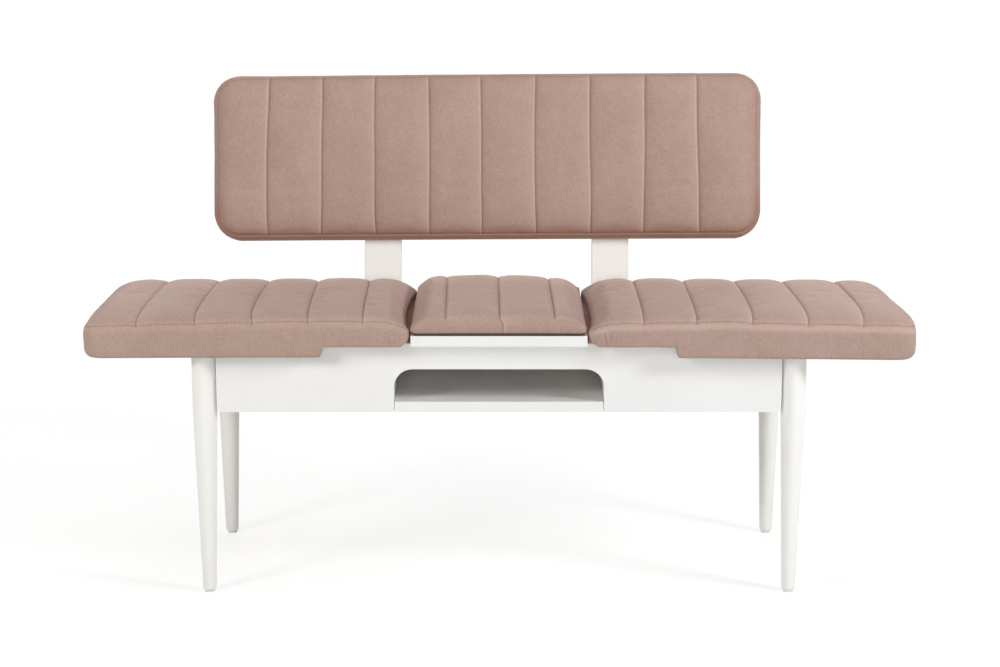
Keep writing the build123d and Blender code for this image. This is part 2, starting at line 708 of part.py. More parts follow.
with BuildPart() as back_rear_cloth:
    slab(PAD_PLANE, PAD, PAD_CLOTH_INSET, 0, PAD_CLOTH)
    bore(ALL_BACK_SCREWS, BACK_SCREW)
save(back_rear_cloth.part, "back_rear_cloth")

with BuildPart() as back_panel:
    slab(PAD_PLANE, PAD, COVER_WALL, PAD_CLOTH, PANEL_FRONT)
    with Locations(*TEE_PLACES):
        CounterBoreHole(
            TEE_BARREL_D / 2 + DRILL_GAP, TEE_FLANGE_D / 2 + DRILL_GAP, TEE_FLANGE_T + DRILL_GAP
        )
save(back_panel.part, "back_panel")

with BuildPart() as back_tee_nuts:
    with Locations(*TEE_PLACES):
        Cylinder(TEE_FLANGE_D / 2, TEE_FLANGE_T, align=TOP)
        Cylinder(TEE_BARREL_D / 2, TEE_DEPTH, align=TOP)
    bore(ALL_BACK_SCREWS, BACK_SCREW)
save(back_tee_nuts.part, "back_tee_nuts")

with BuildPart() as back_screws:
    drive(ALL_BACK_SCREWS, BACK_SCREW)
save(back_screws.part, "back_screws")

with BuildPart() as back_foam:
    slab(PAD_PLANE, PAD, COVER_WALL, PANEL_FRONT, PAD_FOAM_FRONT)
save(back_foam.part, "back_foam")

back_quilt = quilted(PAD_PLANE, PAD)
with BuildPart() as back_cover:
    add(back_quilt)
    slab(PAD_PLANE, PAD, COVER_WALL - COVER_GAP, 0, PAD_FOAM_FRONT + COVER_GAP, Mode.SUBTRACT)
save(back_cover.part, "back_cover")

# The two sliding seats
SEAT = Quilt(
    SEAT_LENGTH,
    SEAT_DEPTH,
    -LIP_DROP,
    SEAT_EDGE,
    SEAT_CROWN,
    SEAT_REAR_DROP,
    SEAT_CORNER,
    CHANNEL_PITCH,
    5,
    0,
)


def block(side, x_in, x_out, y_front, y_rear):
    """A rectangle on one side of the bench, drawn in the open sketch."""
    with Locations((side * (x_in + x_out) / 2, (y_front + y_rear) / 2)):
        return Rectangle(x_out - x_in, y_rear - y_front)


def trimmed(side, face, inset, low, high, x_in, x_out, y_front, y_rear):
    """The part of a seat layer that lies inside a rectangle."""
    with BuildPart() as layer:
        slab(face, SEAT, inset, low, high)
        with BuildSketch(Plane.XY.offset(RAIL_TOP + low)):
            block(side, x_in, x_out, y_front, y_rear)
        extrude(amount=high - low, mode=Mode.INTERSECT)
    return layer.part


for name, side in SIDES:
    face = Plane((side * SEAT_MID, FRONT_Y, RAIL_TOP), x_dir=(1, 0, 0), z_dir=(0, 0, 1))

    far = back(SEAT_DEPTH)
    board_in = SEAT_IN + BOARD_SETBACK
    board_blank = trimmed(
        side, face, COVER_WALL, SLIDE_GAP, BOARD_TOP, board_in, SEAT_OUT, FRONT_Y, far
    )
    with BuildPart() as seat_board:
        add(board_blank)
        bore(FRONT_LIP_SCREWS[side] + END_LIP_SCREWS[side], LIP_SCREW)
        for _, end in ENDS:
            bore(RUNNER_SCREWS[side, end], RUNNER_SCREW)
    save(seat_board.part, f"{name}_seat_board")

    lip_low = LIP_BOTTOM - RAIL_TOP
    front_blank = trimmed(
        side, face, COVER_WALL, lip_low, SLIDE_GAP, NOTCH_X + COVER_WALL, SEAT_OUT, FRONT_Y, back(LIP_W)
    )
    with BuildPart() as front_lip:
        add(front_blank)
        bore(FRONT_LIP_SCREWS[side], LIP_SCREW)
    save(front_lip.part, f"{name}_front_lip")

    end_blank = trimmed(
        side, face, COVER_WALL, lip_low, SLIDE_GAP, SEAT_OUT - LIP_W, SEAT_OUT, back(LIP_W), far
    )
    with BuildPart() as end_lip:
        add(end_blank)
        bore(END_LIP_SCREWS[side], LIP_SCREW)
    save(end_lip.part, f"{name}_end_lip")

    foam_in = SEAT_IN + COVER_WALL + FOAM_SETBACK
    room_in = foam_in - COVER_GAP
    base_in = board_in - COVER_GAP
    seat_foam = trimmed(side, face, COVER_WALL, BOARD_TOP, FOAM_TOP, foam_in, SEAT_OUT, FRONT_Y, far)
    save(seat_foam, f"{name}_seat_foam")

    # Room inside the cover for the board, the foam and the battens
    inset = COVER_WALL - COVER_GAP
    low = lip_low - COVER_GAP
    lip_in = NOTCH_X + inset
    rooms = [
        trimmed(side, face, inset, SLIDE_GAP, BOARD_TOP + COVER_GAP, base_in, SEAT_OUT, FRONT_Y, far),
        trimmed(side, face, inset, BOARD_TOP, FOAM_TOP + COVER_GAP, room_in, SEAT_OUT, FRONT_Y, far),
        trimmed(side, face, inset, low, SLIDE_GAP, lip_in, SEAT_OUT, FRONT_Y, back(LIP_W)),
        trimmed(side, face, inset, low, SLIDE_GAP, SEAT_OUT - LIP_W, SEAT_OUT, FRONT_Y, far),
    ]
    drops = (0.0, SEAT_INNER_DROP) if side < 0 else (SEAT_INNER_DROP, 0.0)
    seat_quilt = quilted(face, SEAT, *drops)
    with BuildPart() as seat_cover:
        add(seat_quilt)
        with BuildSketch(Plane.XY.offset(SEAT_BASE)):
            block(side, SEAT_IN - 1, SEAT_OUT - LIP_W, back(LIP_W), back(SEAT_DEPTH + 1))
            block(side, SEAT_IN - 1, NOTCH_X, FRONT_Y - 1, back(SEAT_DEPTH + 1))
        extrude(amount=-2 * LIP_DROP, mode=Mode.SUBTRACT)
        add(rooms, mode=Mode.SUBTRACT)
    save(seat_cover.part, f"{name}_seat_cover")

    for row, end in ENDS:
        with BuildPart() as runner:
            with BuildSketch(Plane.XY.offset(RUNNER_BOTTOM)):
                y_mid = inward(end, RUNNER_D + RUNNER_W / 2)
                block(side, RUNNER_IN, RUNNER_OUT, y_mid - RUNNER_W / 2, y_mid + RUNNER_W / 2)
            extrude(amount=SEAT_BASE - RUNNER_BOTTOM)
            bore(RUNNER_SCREWS[side, end], RUNNER_SCREW)
            bore(SHOE_SCREWS[side, end], SHOE_SCREW)
        save(runner.part, f"{name}_{row}_runner")

    with BuildPart() as slide_shoes:
        for _, end in ENDS:
            shoe_y = inward(end, (SHOE_IN + RUNNER_D) / 2)
            with Locations(*[(side * x, shoe_y, CHANNEL_MID) for x in SHOE_X]):
                Box(SHOE_LENGTH, RUNNER_D - SHOE_IN, CHANNEL_H - 2 * CHANNEL_T - 2 * SHOE_FIT)
            bore(SHOE_SCREWS[side, end], SHOE_SCREW)
    save(slide_shoes.part, f"{name}_slide_shoes")

    with BuildPart() as seat_screws:
        drive(FRONT_LIP_SCREWS[side] + END_LIP_SCREWS[side], LIP_SCREW)
        for _, end in ENDS:
            drive(RUNNER_SCREWS[side, end], RUNNER_SCREW)
            drive(SHOE_SCREWS[side, end], SHOE_SCREW)
    save(seat_screws.part, f"{name}_seat_screws")

# The leaf that fills the middle
LEAF = Quilt(
    LEAF_PAD_WIDTH,
    LEAF_PAD_LENGTH,
    LEAF_LINE,
    LEAF_EDGE,
    LEAF_CROWN,
    LEAF_REAR_DROP,
    SEAT_CORNER / 2,
    CHANNEL_PITCH,
    3,
    0,
)
leaf_face = Plane((0, back(LEAF_SETBACK - LEAF_OVERHANG), LEAF_TOP), x_dir=(1, 0, 0), z_dir=(0, 0, 1))

with BuildPart() as leaf_board:
    with BuildSketch(Plane.XY.offset(RAIL_TOP)):
        with Locations((0, back(LEAF_SETBACK + LEAF_LENGTH / 2))):
            Rectangle(LEAF_WIDTH, LEAF_LENGTH)
    extrude(amount=BOARD)
    bore(CLEAT_SCREWS, CLEAT_SCREW)
    bore(BASE_SCREWS, BASE_SCREW)
save(leaf_board.part, "leaf_board")

with BuildPart() as leaf_base:
    slab(leaf_face, LEAF, COVER_WALL, 0, LEAF_BASE)
    bore(BASE_SCREWS, BASE_SCREW)
save(leaf_base.part, "leaf_base")

with BuildPart() as leaf_foam:
    slab(leaf_face, LEAF, COVER_WALL, LEAF_BASE, LEAF_FOAM_TOP)
save(leaf_foam.part, "leaf_foam")

leaf_quilt = quilted(leaf_face, LEAF, LEAF_SIDE_DROP, LEAF_SIDE_DROP)
with BuildPart() as leaf_cover:
    add(leaf_quilt)
    slab(leaf_face, LEAF, COVER_WALL - COVER_GAP, 0, LEAF_FOAM_TOP + COVER_GAP, Mode.SUBTRACT)
save(leaf_cover.part, "leaf_cover")

with BuildPart() as leaf_cleats:
    for _, end in ENDS:
        with Locations((0, inward(end, CHANNEL_D + CLEAT_GAP + CLEAT / 2), RAIL_TOP)):
            Box(CLEAT_LENGTH, CLEAT, CLEAT, align=TOP)
    bore(CLEAT_SCREWS, CLEAT_SCREW)
save(leaf_cleats.part, "leaf_cleats")

with BuildPart() as leaf_screws:
    drive(CLEAT_SCREWS, CLEAT_SCREW)
    drive(BASE_SCREWS, BASE_SCREW)
save(leaf_screws.part, "leaf_screws")
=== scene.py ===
"""Looks of the extending bench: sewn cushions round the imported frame, finishes, light, camera."""
import math

import bmesh
import bpy
import numpy as np
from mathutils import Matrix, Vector


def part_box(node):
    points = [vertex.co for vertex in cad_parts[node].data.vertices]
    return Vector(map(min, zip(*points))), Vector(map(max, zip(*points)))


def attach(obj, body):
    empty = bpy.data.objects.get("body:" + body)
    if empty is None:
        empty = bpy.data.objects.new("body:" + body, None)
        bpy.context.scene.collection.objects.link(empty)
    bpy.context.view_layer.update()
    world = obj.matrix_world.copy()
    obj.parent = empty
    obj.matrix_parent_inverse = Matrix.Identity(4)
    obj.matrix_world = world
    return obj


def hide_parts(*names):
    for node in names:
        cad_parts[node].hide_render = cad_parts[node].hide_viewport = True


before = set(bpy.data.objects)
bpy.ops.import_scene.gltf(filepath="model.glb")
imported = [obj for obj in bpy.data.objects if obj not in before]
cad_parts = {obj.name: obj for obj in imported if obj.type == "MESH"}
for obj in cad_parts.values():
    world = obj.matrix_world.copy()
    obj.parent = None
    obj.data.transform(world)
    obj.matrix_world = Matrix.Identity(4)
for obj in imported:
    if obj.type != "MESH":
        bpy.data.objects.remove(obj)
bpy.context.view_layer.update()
scene = bpy.context.scene

MM = 0.001
TINY = 1e-6
FAR = 1000.0  # in millimetres, stands for nowhere near

# Places shared with the part's source, in millimetres
FRONT_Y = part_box("left_seat_cover")[0].y / MM
RAIL_TOP = 445.0
SEAT_IN = 150.5
SEAT_OUT = 700.0
SEAT_WIDE = SEAT_OUT - SEAT_IN
SEAT_DEEP = 400.0
NOTCH = 150.0
LIP = 20.6
LEAF_FRONT = 6.0
LEAF_TOP = 463.0
LEAF_WIDE = 298.0
LEAF_DEEP = 390.0
PITCH = 94.5
PAD_WIDE = 1007.0
PAD_HIGH = 300.0
PAD_PITCH = 98.5
LEAN = math.radians(11.9)

# The cushions' own: corner radii, and how far the seats' skirt hangs below the rail's top
SEAT_CORNER = 16.0
LEAF_CORNER = 10.0
PAD_CORNER = 39.0
SKIRT = 18.0

# How far each seam stands to the right of its even place, as sewn: at the front or lower end,
# at the rear or upper end, and how far it bows between them
SEAM_SHIFTS = {
    "left": (
        (3.6, 8.6, 10.6, 10.0, 7.5),
        (8.0, 7.0, 4.4, -0.6, -1.0),
        (-2.0, -5.8, -6.6, -3.2, -0.8),
    ),
    "right": (
        (6.5, 1.2, 0.2, -0.4, -2.6),
        (8.6, 5.6, 5.4, -1.8, 0.2),
        (1.6, 2.4, 5.2, 5.2, 8.0),
    ),
    "leaf": ((6.0, 2.2, 0.5), (0.8, -0.5, -3.0)),
    "back": (
        (0.5, -0.5, 1.7, 1.3, -0.3, 1.1, 1.7, 0.2, 5.0),
        (4.8, 2.6, 0.4, 0.2, -3.1, -0.7, 0.4, 2.4, -1.1),
        (-3.6, 0.4, -2.1, 1.8, -0.7, -2.4, 0.4, -0.2, -0.5),
    ),
}
# The seats' front seam: places from the inner end, and how far the seam rises there
FRONT_WAVES = {
    "left": (
        (0, 18, 45, 90, 180, 300, 420, 500, 560),
        (1.0, 2.0, 3.0, 4.2, 4.5, 2.8, 0.4, -1.2, -1.8),
    ),
    "right": (
        (0, 18, 45, 90, 150, 190, 236, 279, 345, 420, 500, 560),
        (0.6, 0.8, 0.4, 0.9, 1.8, 3.6, 5.0, 3.0, 2.0, 1.6, 0.9, 0.2),
    ),
}
# What else differs between the seats. Of the outer end: fuller near the front, slimmer behind it,
# how far its wall stands out, how far it sags and its skirt is lifted. Of the inner end: how far
# it is pulled in and how dark its painted shade is. Of the front: how strong the painted highlight
# on its roll is.
SEATS = {
    "left": {"full": 2.8, "slim": 1.2, "end_out": 1.6, "sag": 3.5, "lift": 1.9,
             "pulled": 12.5, "shade": 0.9, "roll": 0.15},
    "right": {"full": 5.5, "slim": 2.5, "end_out": 3.0, "sag": 5.0, "lift": 0.0,
              "pulled": 9.0, "shade": 0.55, "roll": 0.5},
}

# The cloth that the covers are swollen with
SWELL_FRAMES = 20
CLOTH = {
    "quality": 6,
    "mass": 0.3,
    "tension_stiffness": 30,
    "compression_stiffness": 30,
    "shear_stiffness": 12,
    "bending_stiffness": 1.5,
    "air_damping": 4,
    "use_pressure": True,
    "shrink_min": -0.004,
    "vertex_group_mass": "held",
}

# Stitches: their pitch, length, radius and depth in the cloth, and the rings along one stitch
CHANNEL_STITCH = (4.6, 3.4, 0.42, 0.12)
FRONT_STITCH = (4.7, 2.3, 0.60, 0.05)
STITCH_RINGS = ((-0.5, 0.35), (-0.32, 0.85), (0.0, 1.0), (0.32, 0.85), (0.5, 0.35))
STITCH_SIDES = 6


# Small tools

def bumps(x, y, seed, wave, across=1.0, along=1.0, count=20):
    """Smooth seeded unevenness of points in millimetres, about -1 to 1."""
    rng = np.random.default_rng(seed)
    turn = rng.uniform(0, 2 * math.pi, count)
    pace = 2 * math.pi / (wave * rng.uniform(0.7, 1.6, count))
    phase = rng.uniform(0, 2 * math.pi, count)
    total = np.zeros_like(x)
    for a, k, p in zip(turn, pace, phase):
        total += np.sin(k * (math.cos(a) * x / across + math.sin(a) * y / along) + p)
    return total / math.sqrt(2 * count)


def bell(value, width, middle=0.0):
    """1 at the middle, and soon 0 on both sides."""
    return np.exp(-((value - middle) / width) ** 2)


def grow(value, length):
    """From 0 to 1 over a length."""
    return np.clip(value / length, 0, 1)


def arch(t, power=1.0):
    """0 at both ends of 0 to 1, and 1 in the middle."""
    return np.sin(math.pi * np.clip(t, 0, 1)) ** power


def round_over(share):
    """The rise of a rounded edge from 0 to 1."""
    return np.sqrt(np.clip(1 - (1 - share) ** 2.2, 0, 1))


def spread(low, high, count, ends):
    """Grid lines from low to high, closer together at both ends as ends goes from 0 to 1."""
    even = np.linspace(0, 1, count + 1)
    tight = 0.5 - 0.5 * np.cos(math.pi * even)
    return low + (high - low) * ((1 - ends) * even + ends * tight)


def cross_lines(half, seams, radius, cells, extra=(), finer=(1.0, 1.0)):
    """Grid lines across a cushion: every seam, fine beside it, and the arcs of the corners."""
    clear = 2.0
    arc = [half - radius + radius * math.sin(math.radians(a)) for a in (0, 22.5, 45, 67.5, 90)]
    stops = [-arc[0], *seams, arc[0]]
    lines = [-x for x in reversed(arc[1:])]
    for low, high in zip(stops[:-1], stops[1:]):
        count = max(3, round(cells * (high - low) / (seams[1] - seams[0])))
        if low == stops[0]:
            count = round(count * finer[0])
        if high == stops[-1]:
            count = round(count * finer[1])
        lines.extend(spread(low, high, count, 0.75)[:-1])
    lines.append(stops[-1])
    lines.extend(arc[1:])
    lines = [x for x in lines if all(abs(x - e) > clear or x in stops for e in extra)]
    return np.array(sorted(set(lines) | set(extra)))


def add_object(name, data):
    obj = bpy.data.objects.new(name, data)
    scene.collection.objects.link(obj)
    return obj


def shade_smooth(mesh):
    for polygon in mesh.polygons:
        polygon.use_smooth = True


def read(data, key, width=3):
    """One property of all vertices, normals or marks, as rows."""
    flat = np.empty(width * len(data), np.float32)
    data.foreach_get(key, flat)
    return flat.reshape(-1, width).astype(float)


class Cushion:
    """One sewn cover: a grid on top, walls below it, in its own millimetre frame."""

    def __init__(self, name, origin, along, out, xs, ts):
        self.name = name
        self.origin = np.array(origin, float)
        self.axes = np.array([(1.0, 0.0, 0.0), along, out])
        self.nx = nx = len(xs)
        self.ny = ny = len(ts)
        grid_x, grid_t = np.meshgrid(xs, ts)
        self.x = grid_x.ravel()
        self.t = grid_t.ravel()
        front = list(range(nx - 1))
        right = [j * nx + nx - 1 for j in range(ny - 1)]
        rear = [(ny - 1) * nx + i for i in range(nx - 1, 0, -1)]
        left = [j * nx for j in range(ny - 1, 0, -1)]
        self.rim = np.array(front + right + rear + left)

    def shape(self, plan_x, plan_y, height, rows, pin_top, marks, slip=None):
        """Set the points: the top grid, then one ring per wall row of (outset, height).

        The pins hold the top against the cloth's swelling, and the walls are held whole. A mark
        has its values on the top and on the walls. A slip per row moves its points along y.
        """
        top = np.column_stack([plan_x, plan_y, height])
        ring = top[self.rim]
        step = np.roll(ring, -1, 0) - np.roll(ring, 1, 0)
        normal = np.column_stack([step[:, 1], -step[:, 0]])
        normal /= np.linalg.norm(normal, axis=1)[:, None]
        points = [top]
        for k, (outset, level) in enumerate(rows):
            row = np.column_stack([ring[:, :2] + normal * outset[:, None], level])
            if slip is not None:
                row[:, 1] += slip[k]
            points.append(row)
        self.points = np.vstack(points)
        self.rows = len(rows)
        marks = {
            "normal_x": (0, normal[:, 0]),
            "normal_y": (0, normal[:, 1]),
            "across": (self.x, self.x[self.rim]),
            "share": (self.t, self.t[self.rim]),
            **marks,
        }
        walls = (self.rows, len(ring))
        self.marks = {}
        for key, (on_top, on_walls) in marks.items():
            both = (np.broadcast_to(on_top, len(top)), np.broadcast_to(on_walls, walls).ravel())
            self.marks[key] = np.concatenate(both)
        self.pin = np.concatenate([pin_top, np.ones(self.rows * len(ring))])

    def sew(self, seams, limits, pressure, cap, lit_side, painted_light, line,
            roll=0.0, boxing=0.0, shade_end=0.0, margin=0.0):
        """Make the mesh, and keep what later steps ask for.

        That is the seams, the room across, how hard and how far the cover swells, and its painted
        light and shade: the side of each seam with the painted highlight, how strong the painted
        highlight and shade beside the seams are, how dark the painted shade in them is, how strong
        the painted highlight on the front's roll is, and how dark the painted shade on the boxing,
        the inner ends and the margin is.
        """
        self.seams = seams
        self.limits = limits
        self.pressure = pressure
        self.cap = cap
        self.lit_side = lit_side
        self.painted_light = painted_light
        self.line = line
        self.roll = roll
        self.boxing = boxing
        self.shade_end = shade_end
        self.margin = margin
        mesh = bpy.data.meshes.new(self.name)
        mesh.from_pydata(self.world(self.points).tolist(), [], self.faces())
        for key, values in self.marks.items():
            layer = mesh.attributes.new(key, "FLOAT", "POINT")
            layer.data.foreach_set("value", values.astype(np.float32))
        self.obj = add_object(self.name, mesh)

    def faces(self):
        nx, ny = self.nx, self.ny
        made = []
        for j in range(ny - 1):
            for i in range(nx - 1):
                a = j * nx + i
                made.append((a, a + 1, a + nx + 1, a + nx))
        size = len(self.rim)
        above = self.rim
        for k in range(self.rows):
            below = np.arange(size) + nx * ny + k * size
            for j in range(size):
                n = (j + 1) % size
                made.append((int(above[j]), int(below[j]), int(below[n]), int(above[n])))
            above = below
        return made

    def keep_in(self, points):
        """Keep the cover inside its neighbours' room."""
        points[:, 0] = np.clip(points[:, 0], *self.limits)
        return points

    def world(self, points):
        return (self.origin + points @ self.axes) * MM

    def local(self, points):
        return (points / MM - self.origin) @ self.axes.T


def swell(cushions):
    """Blow every cover up against its seams with one cloth simulation, and keep a capped result."""
    for c in cushions:
        held = c.obj.vertex_groups.new(name="held")
        for weight in np.unique(c.pin[c.pin > 0]):
            held.add(np.flatnonzero(c.pin == weight).tolist(), float(weight), "REPLACE")
        mod = c.obj.modifiers.new("swell", "CLOTH")
        for key, value in CLOTH.items():
            setattr(mod.settings, key, value)
        mod.settings.uniform_pressure_force = c.pressure
        mod.settings.effector_weights.gravity = 0
        mod.collision_settings.use_collision = False
        mod.collision_settings.use_self_collision = False
        mod.point_cache.frame_start = 1
        mod.point_cache.frame_end = SWELL_FRAMES
    for number in range(1, SWELL_FRAMES + 1):
        scene.frame_set(number)
    graph = bpy.context.evaluated_depsgraph_get()
    blown = [read(c.obj.evaluated_get(graph).data.vertices, "co") for c in cushions]
    for c, end in zip(cushions, blown):
        start = read(c.obj.data.vertices, "co")
        moved = end - start
        far = np.linalg.norm(moved, axis=1)
        cap = c.cap * MM
        share = np.where(far > 1e-9, cap * np.tanh(far / cap) / np.maximum(far, 1e-9), 0)
        c.obj.modifiers.clear()
        c.obj.vertex_groups.clear()
        c.obj.data.vertices.foreach_set("co", (start + moved * share[:, None]).ravel())
        c.obj.data.update()
    scene.frame_set(1)


def finish_cover(c, detail, inside):
    """Subdivide a cover, add its fine folds, and close it with the edge that turns under."""
    mod = c.obj.modifiers.new("fine", "SUBSURF")
    mod.levels = 1
    mod.boundary_smooth = "PRESERVE_CORNERS"
    graph = bpy.context.evaluated_depsgraph_get()
    fine = bpy.data.meshes.new_from_object(
        c.obj.evaluated_get(graph), preserve_all_data_layers=True, depsgraph=graph
    )
    c.obj.modifiers.clear()
    old = c.obj.data
    c.obj.data = fine
    bpy.data.meshes.remove(old)
    points = c.local(read(fine.vertices, "co"))
    normals = read(fine.vertex_normals, "vector") @ c.axes.T
    marks = {key: read(fine.attributes[key].data, "value", 1)[:, 0] for key in c.marks}
    points += normals * detail(points, marks)[:, None]
    points = c.keep_in(points)
    fine.vertices.foreach_set("co", c.world(points).astype(np.float32).ravel())
    fine.update()
    c.fine_points = points
    c.fine_normals = normals
    c.fine_marks = marks
    light, dark, deep = seam_tones(c, marks)
    for key, values in (("painted_light", light), ("deep", deep)):
        layer = fine.attributes.new(key, "FLOAT", "POINT")
        layer.data.foreach_set("value", values.astype(np.float32))
    fine.attributes["crease"].data.foreach_set("value", dark.astype(np.float32))

    bm = bmesh.new()
    bm.from_mesh(fine)
    edges = [e for e in bm.edges if e.is_boundary]
    for target in ("under", "up"):
        made = bmesh.ops.extrude_edge_only(bm, edges=edges)["geom"]
        edges = [g for g in made if isinstance(g, bmesh.types.BMEdge) and g.is_boundary]
        layer = {k: bm.verts.layers.float.get(k) for k in ("normal_x", "normal_y", "turn")}
        for v in [g for g in made if isinstance(g, bmesh.types.BMVert)]:
            here = c.local(np.array([v.co[:]]))[0]
            if target == "under":
                here[0] -= v[layer["normal_x"]] * v[layer["turn"]]
                here[1] -= v[layer["normal_y"]] * v[layer["turn"]]
            else:
                here[2] = inside
            v.co = c.world(here[None, :])[0]
    lid = bmesh.ops.contextual_create(bm, geom=edges)["faces"]
    bmesh.ops.triangulate(bm, faces=lid)
    bmesh.ops.recalc_face_normals(bm, faces=bm.faces)
    bm.to_mesh(fine)
    bm.free()
    shade_smooth(fine)
    fine.update()


def seam_line(c, chosen, order):
    """Points and normals along one seam of a finished cover, in sewing order."""
    index = np.flatnonzero(chosen)
    index = index[np.argsort(order[index])]
    return c.fine_points[index], c.fine_normals[index]


def along(place, run, values):
    """The point or normal at a place along a seam."""
    return np.array([np.interp(place, run, values[:, a]) for a in range(3)])


def stitches(name, c, lines, sizes, body, look):
    """Thread along seam lines: one small bulging stitch after another."""
    pitch, length, radius, sink = sizes
    reach = 1.5
    sides = STITCH_SIDES
    last = (len(STITCH_RINGS) - 1) * sides
    verts = []
    faces = []
    for points, normals in lines:
        gaps = np.linalg.norm(np.diff(points, axis=0), axis=1)
        run = np.concatenate([[0], np.cumsum(gaps)])
        for place in np.arange(pitch, run[-1] - pitch * 0.5, pitch):
            way = along(place + reach, run, points) - along(place - reach, run, points)
            way /= np.linalg.norm(way)
            up = along(place, run, normals)
            up -= way * (up @ way)
            up /= np.linalg.norm(up)
            side = np.cross(way, up)
            mid = along(place, run, points) - up * sink
            base = len(verts)
            for share, thick in STITCH_RINGS:
                for s in range(sides):
                    a = 2 * math.pi * s / sides
                    lift = up * math.cos(a) + side * math.sin(a)
                    verts.append(mid + way * share * length + lift * radius * thick)
            for low in range(base, base + last, sides):
                for s in range(sides):
                    n = (s + 1) % sides
                    faces.append((low + s, low + n, low + sides + n, low + sides + s))
            faces.append(tuple(base + s for s in reversed(range(sides))))
            faces.append(tuple(base + last + s for s in range(sides)))
    mesh = bpy.data.meshes.new(name)
    mesh.from_pydata(c.world(np.array(verts)).tolist(), [], faces)
    shade_smooth(mesh)
    obj = add_object(name, mesh)
    obj.data.materials.append(look)
    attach(obj, body)


# Shapes of the covers

def corner_fall(x, half, radius):
    """How far the rounded corners move the front edge in at each place across."""
    over = np.clip(np.abs(x) - (half - radius), 0, radius)
    return radius - np.sqrt(radius ** 2 - over ** 2)


def shoulders(s, wide, flat=0.45):
    """Cross-section of one stuffed channel from 0 to 1: a broad swell, steep beside its seams."""
    steep = 6.0
    broad = 1 - np.abs(2 * s - 1) ** 5
    beside = 1 - np.exp(-np.minimum(s, 1 - s) * wide / steep)
    return (1 - flat) * broad + flat * beside


def in_channel(x, stops):
    """The channel that each point lies in, how far across it the point is, and its width."""
    i = np.clip(np.searchsorted(stops, x, side="right") - 1, 0, len(stops) - 2)
    wide = stops[i + 1] - stops[i]
    return i, (x - stops[i]) / wide, wide


def channel_profile(x, t, stops, edge, crown, puff, ends, flat=0.45):
    """Height of a quilted top: valleys at the seams, puffs between, shoulders at both ends."""
    rise = np.sqrt(np.clip(1 - np.abs(2 * t - 1) ** 4, 0, 1))
    valley = edge + crown * rise
    swollen = puff * (0.25 + 0.75 * rise)
    i, s, wide = in_channel(x, stops)
    height = valley + swollen * shoulders(s, wide, flat)
    for which, (drop, power) in zip((0, len(stops) - 2), ends):
        out = 1 - s if which == 0 else s
        one_side = shoulders(np.clip(out, 0, 0.5), wide, flat)
        end = valley + swollen * one_side * (1 - np.clip(out, 0, 1) ** 4)
        end = end - (valley - edge + drop) * np.clip(out, 0, 1) ** power
        height = np.where(i == which, end, height)
    return height


def move_seams(plan_x, x, t, stops, name, bow=None):
    """Move the cloth sideways with its seams, which wander at both ends and bow between them."""
    for share, shifts in zip((1 - t, t, bow), SEAM_SHIFTS[name]):
        plan_x = plan_x + share * np.interp(x, stops, (0, *shifts, 0))
    return plan_x


def add_foot(rows, low, curve, reach):
    """Add the wall rows that turn a cover in at its lower edge."""
    for angle in (30, 60, 90):
        a = math.radians(angle)
        rows.append((reach - curve * (1 - math.cos(a)), low + curve * (1 - math.sin(a))))


def near_seams(x, seams):
    """Distance across to the nearest seam."""
    return np.min(np.abs(x[:, None] - np.array(seams)[None, :]), axis=1)


def from_seam(across, seams):
    """Signed distance across to the nearest seam."""
    apart = across[:, None] - np.array(seams)[None, :]
    return np.take_along_axis(apart, np.argmin(np.abs(apart), axis=1)[:, None], axis=1)[:, 0]


def seam_ridge(c, marks, height):
    """The turned-in cloth that lifts one side of each channel seam."""
    past = from_seam(marks["across"], c.seams) * c.lit_side
    return np.where(marks["seam_gap"] < 50, height * bell(past, 2.0, 3.0), 0)


def seam_tones(c, marks):
    """How pale, how dark and how deep in shade the pile of a finished cover looks.

    Beside each seam the cover has a painted highlight on one side and painted shade on the other.
    """
    past = from_seam(marks["across"], c.seams) * c.lit_side
    wall = marks["wall"]
    beside = marks["seam_gap"] < 50
    # Painted highlight beside the seams and on the front roll, painted shade in and beside them.
    seam_highlight = 0.34 * np.exp(-np.abs(past) / 11) + 0.44 * bell(past, 1.1, 2.6)
    light = c.painted_light * np.where(beside & (past > -0.1), seam_highlight, 0)
    light = light + c.roll * bell(wall, 5, 8) * (marks["share"] < 0.01)
    seam_shade = 0.42 * c.painted_light * np.exp(-np.abs(past) / 8)
    dark = np.maximum(c.line * marks["crease"], np.where(beside & (past < 0.1), seam_shade, 0))
    # Painted shade on the boxing, the inner ends and the margin; boxing and margin darker low down.
    low_side = np.clip(1 - 5 * marks["share"], 0, 1)
    deep = c.boxing * (0.15 + 0.85 * low_side) * grow(wall, 2)
    deep = np.maximum(deep, c.shade_end * marks["inner"] * grow(wall, 6))
    deep = np.maximum(deep, c.margin * (0.4 + 0.6 * low_side) * bell(marks["edge_gap"], 14))
    return np.clip(light, 0, 1), dark, np.clip(deep, 0, 1)


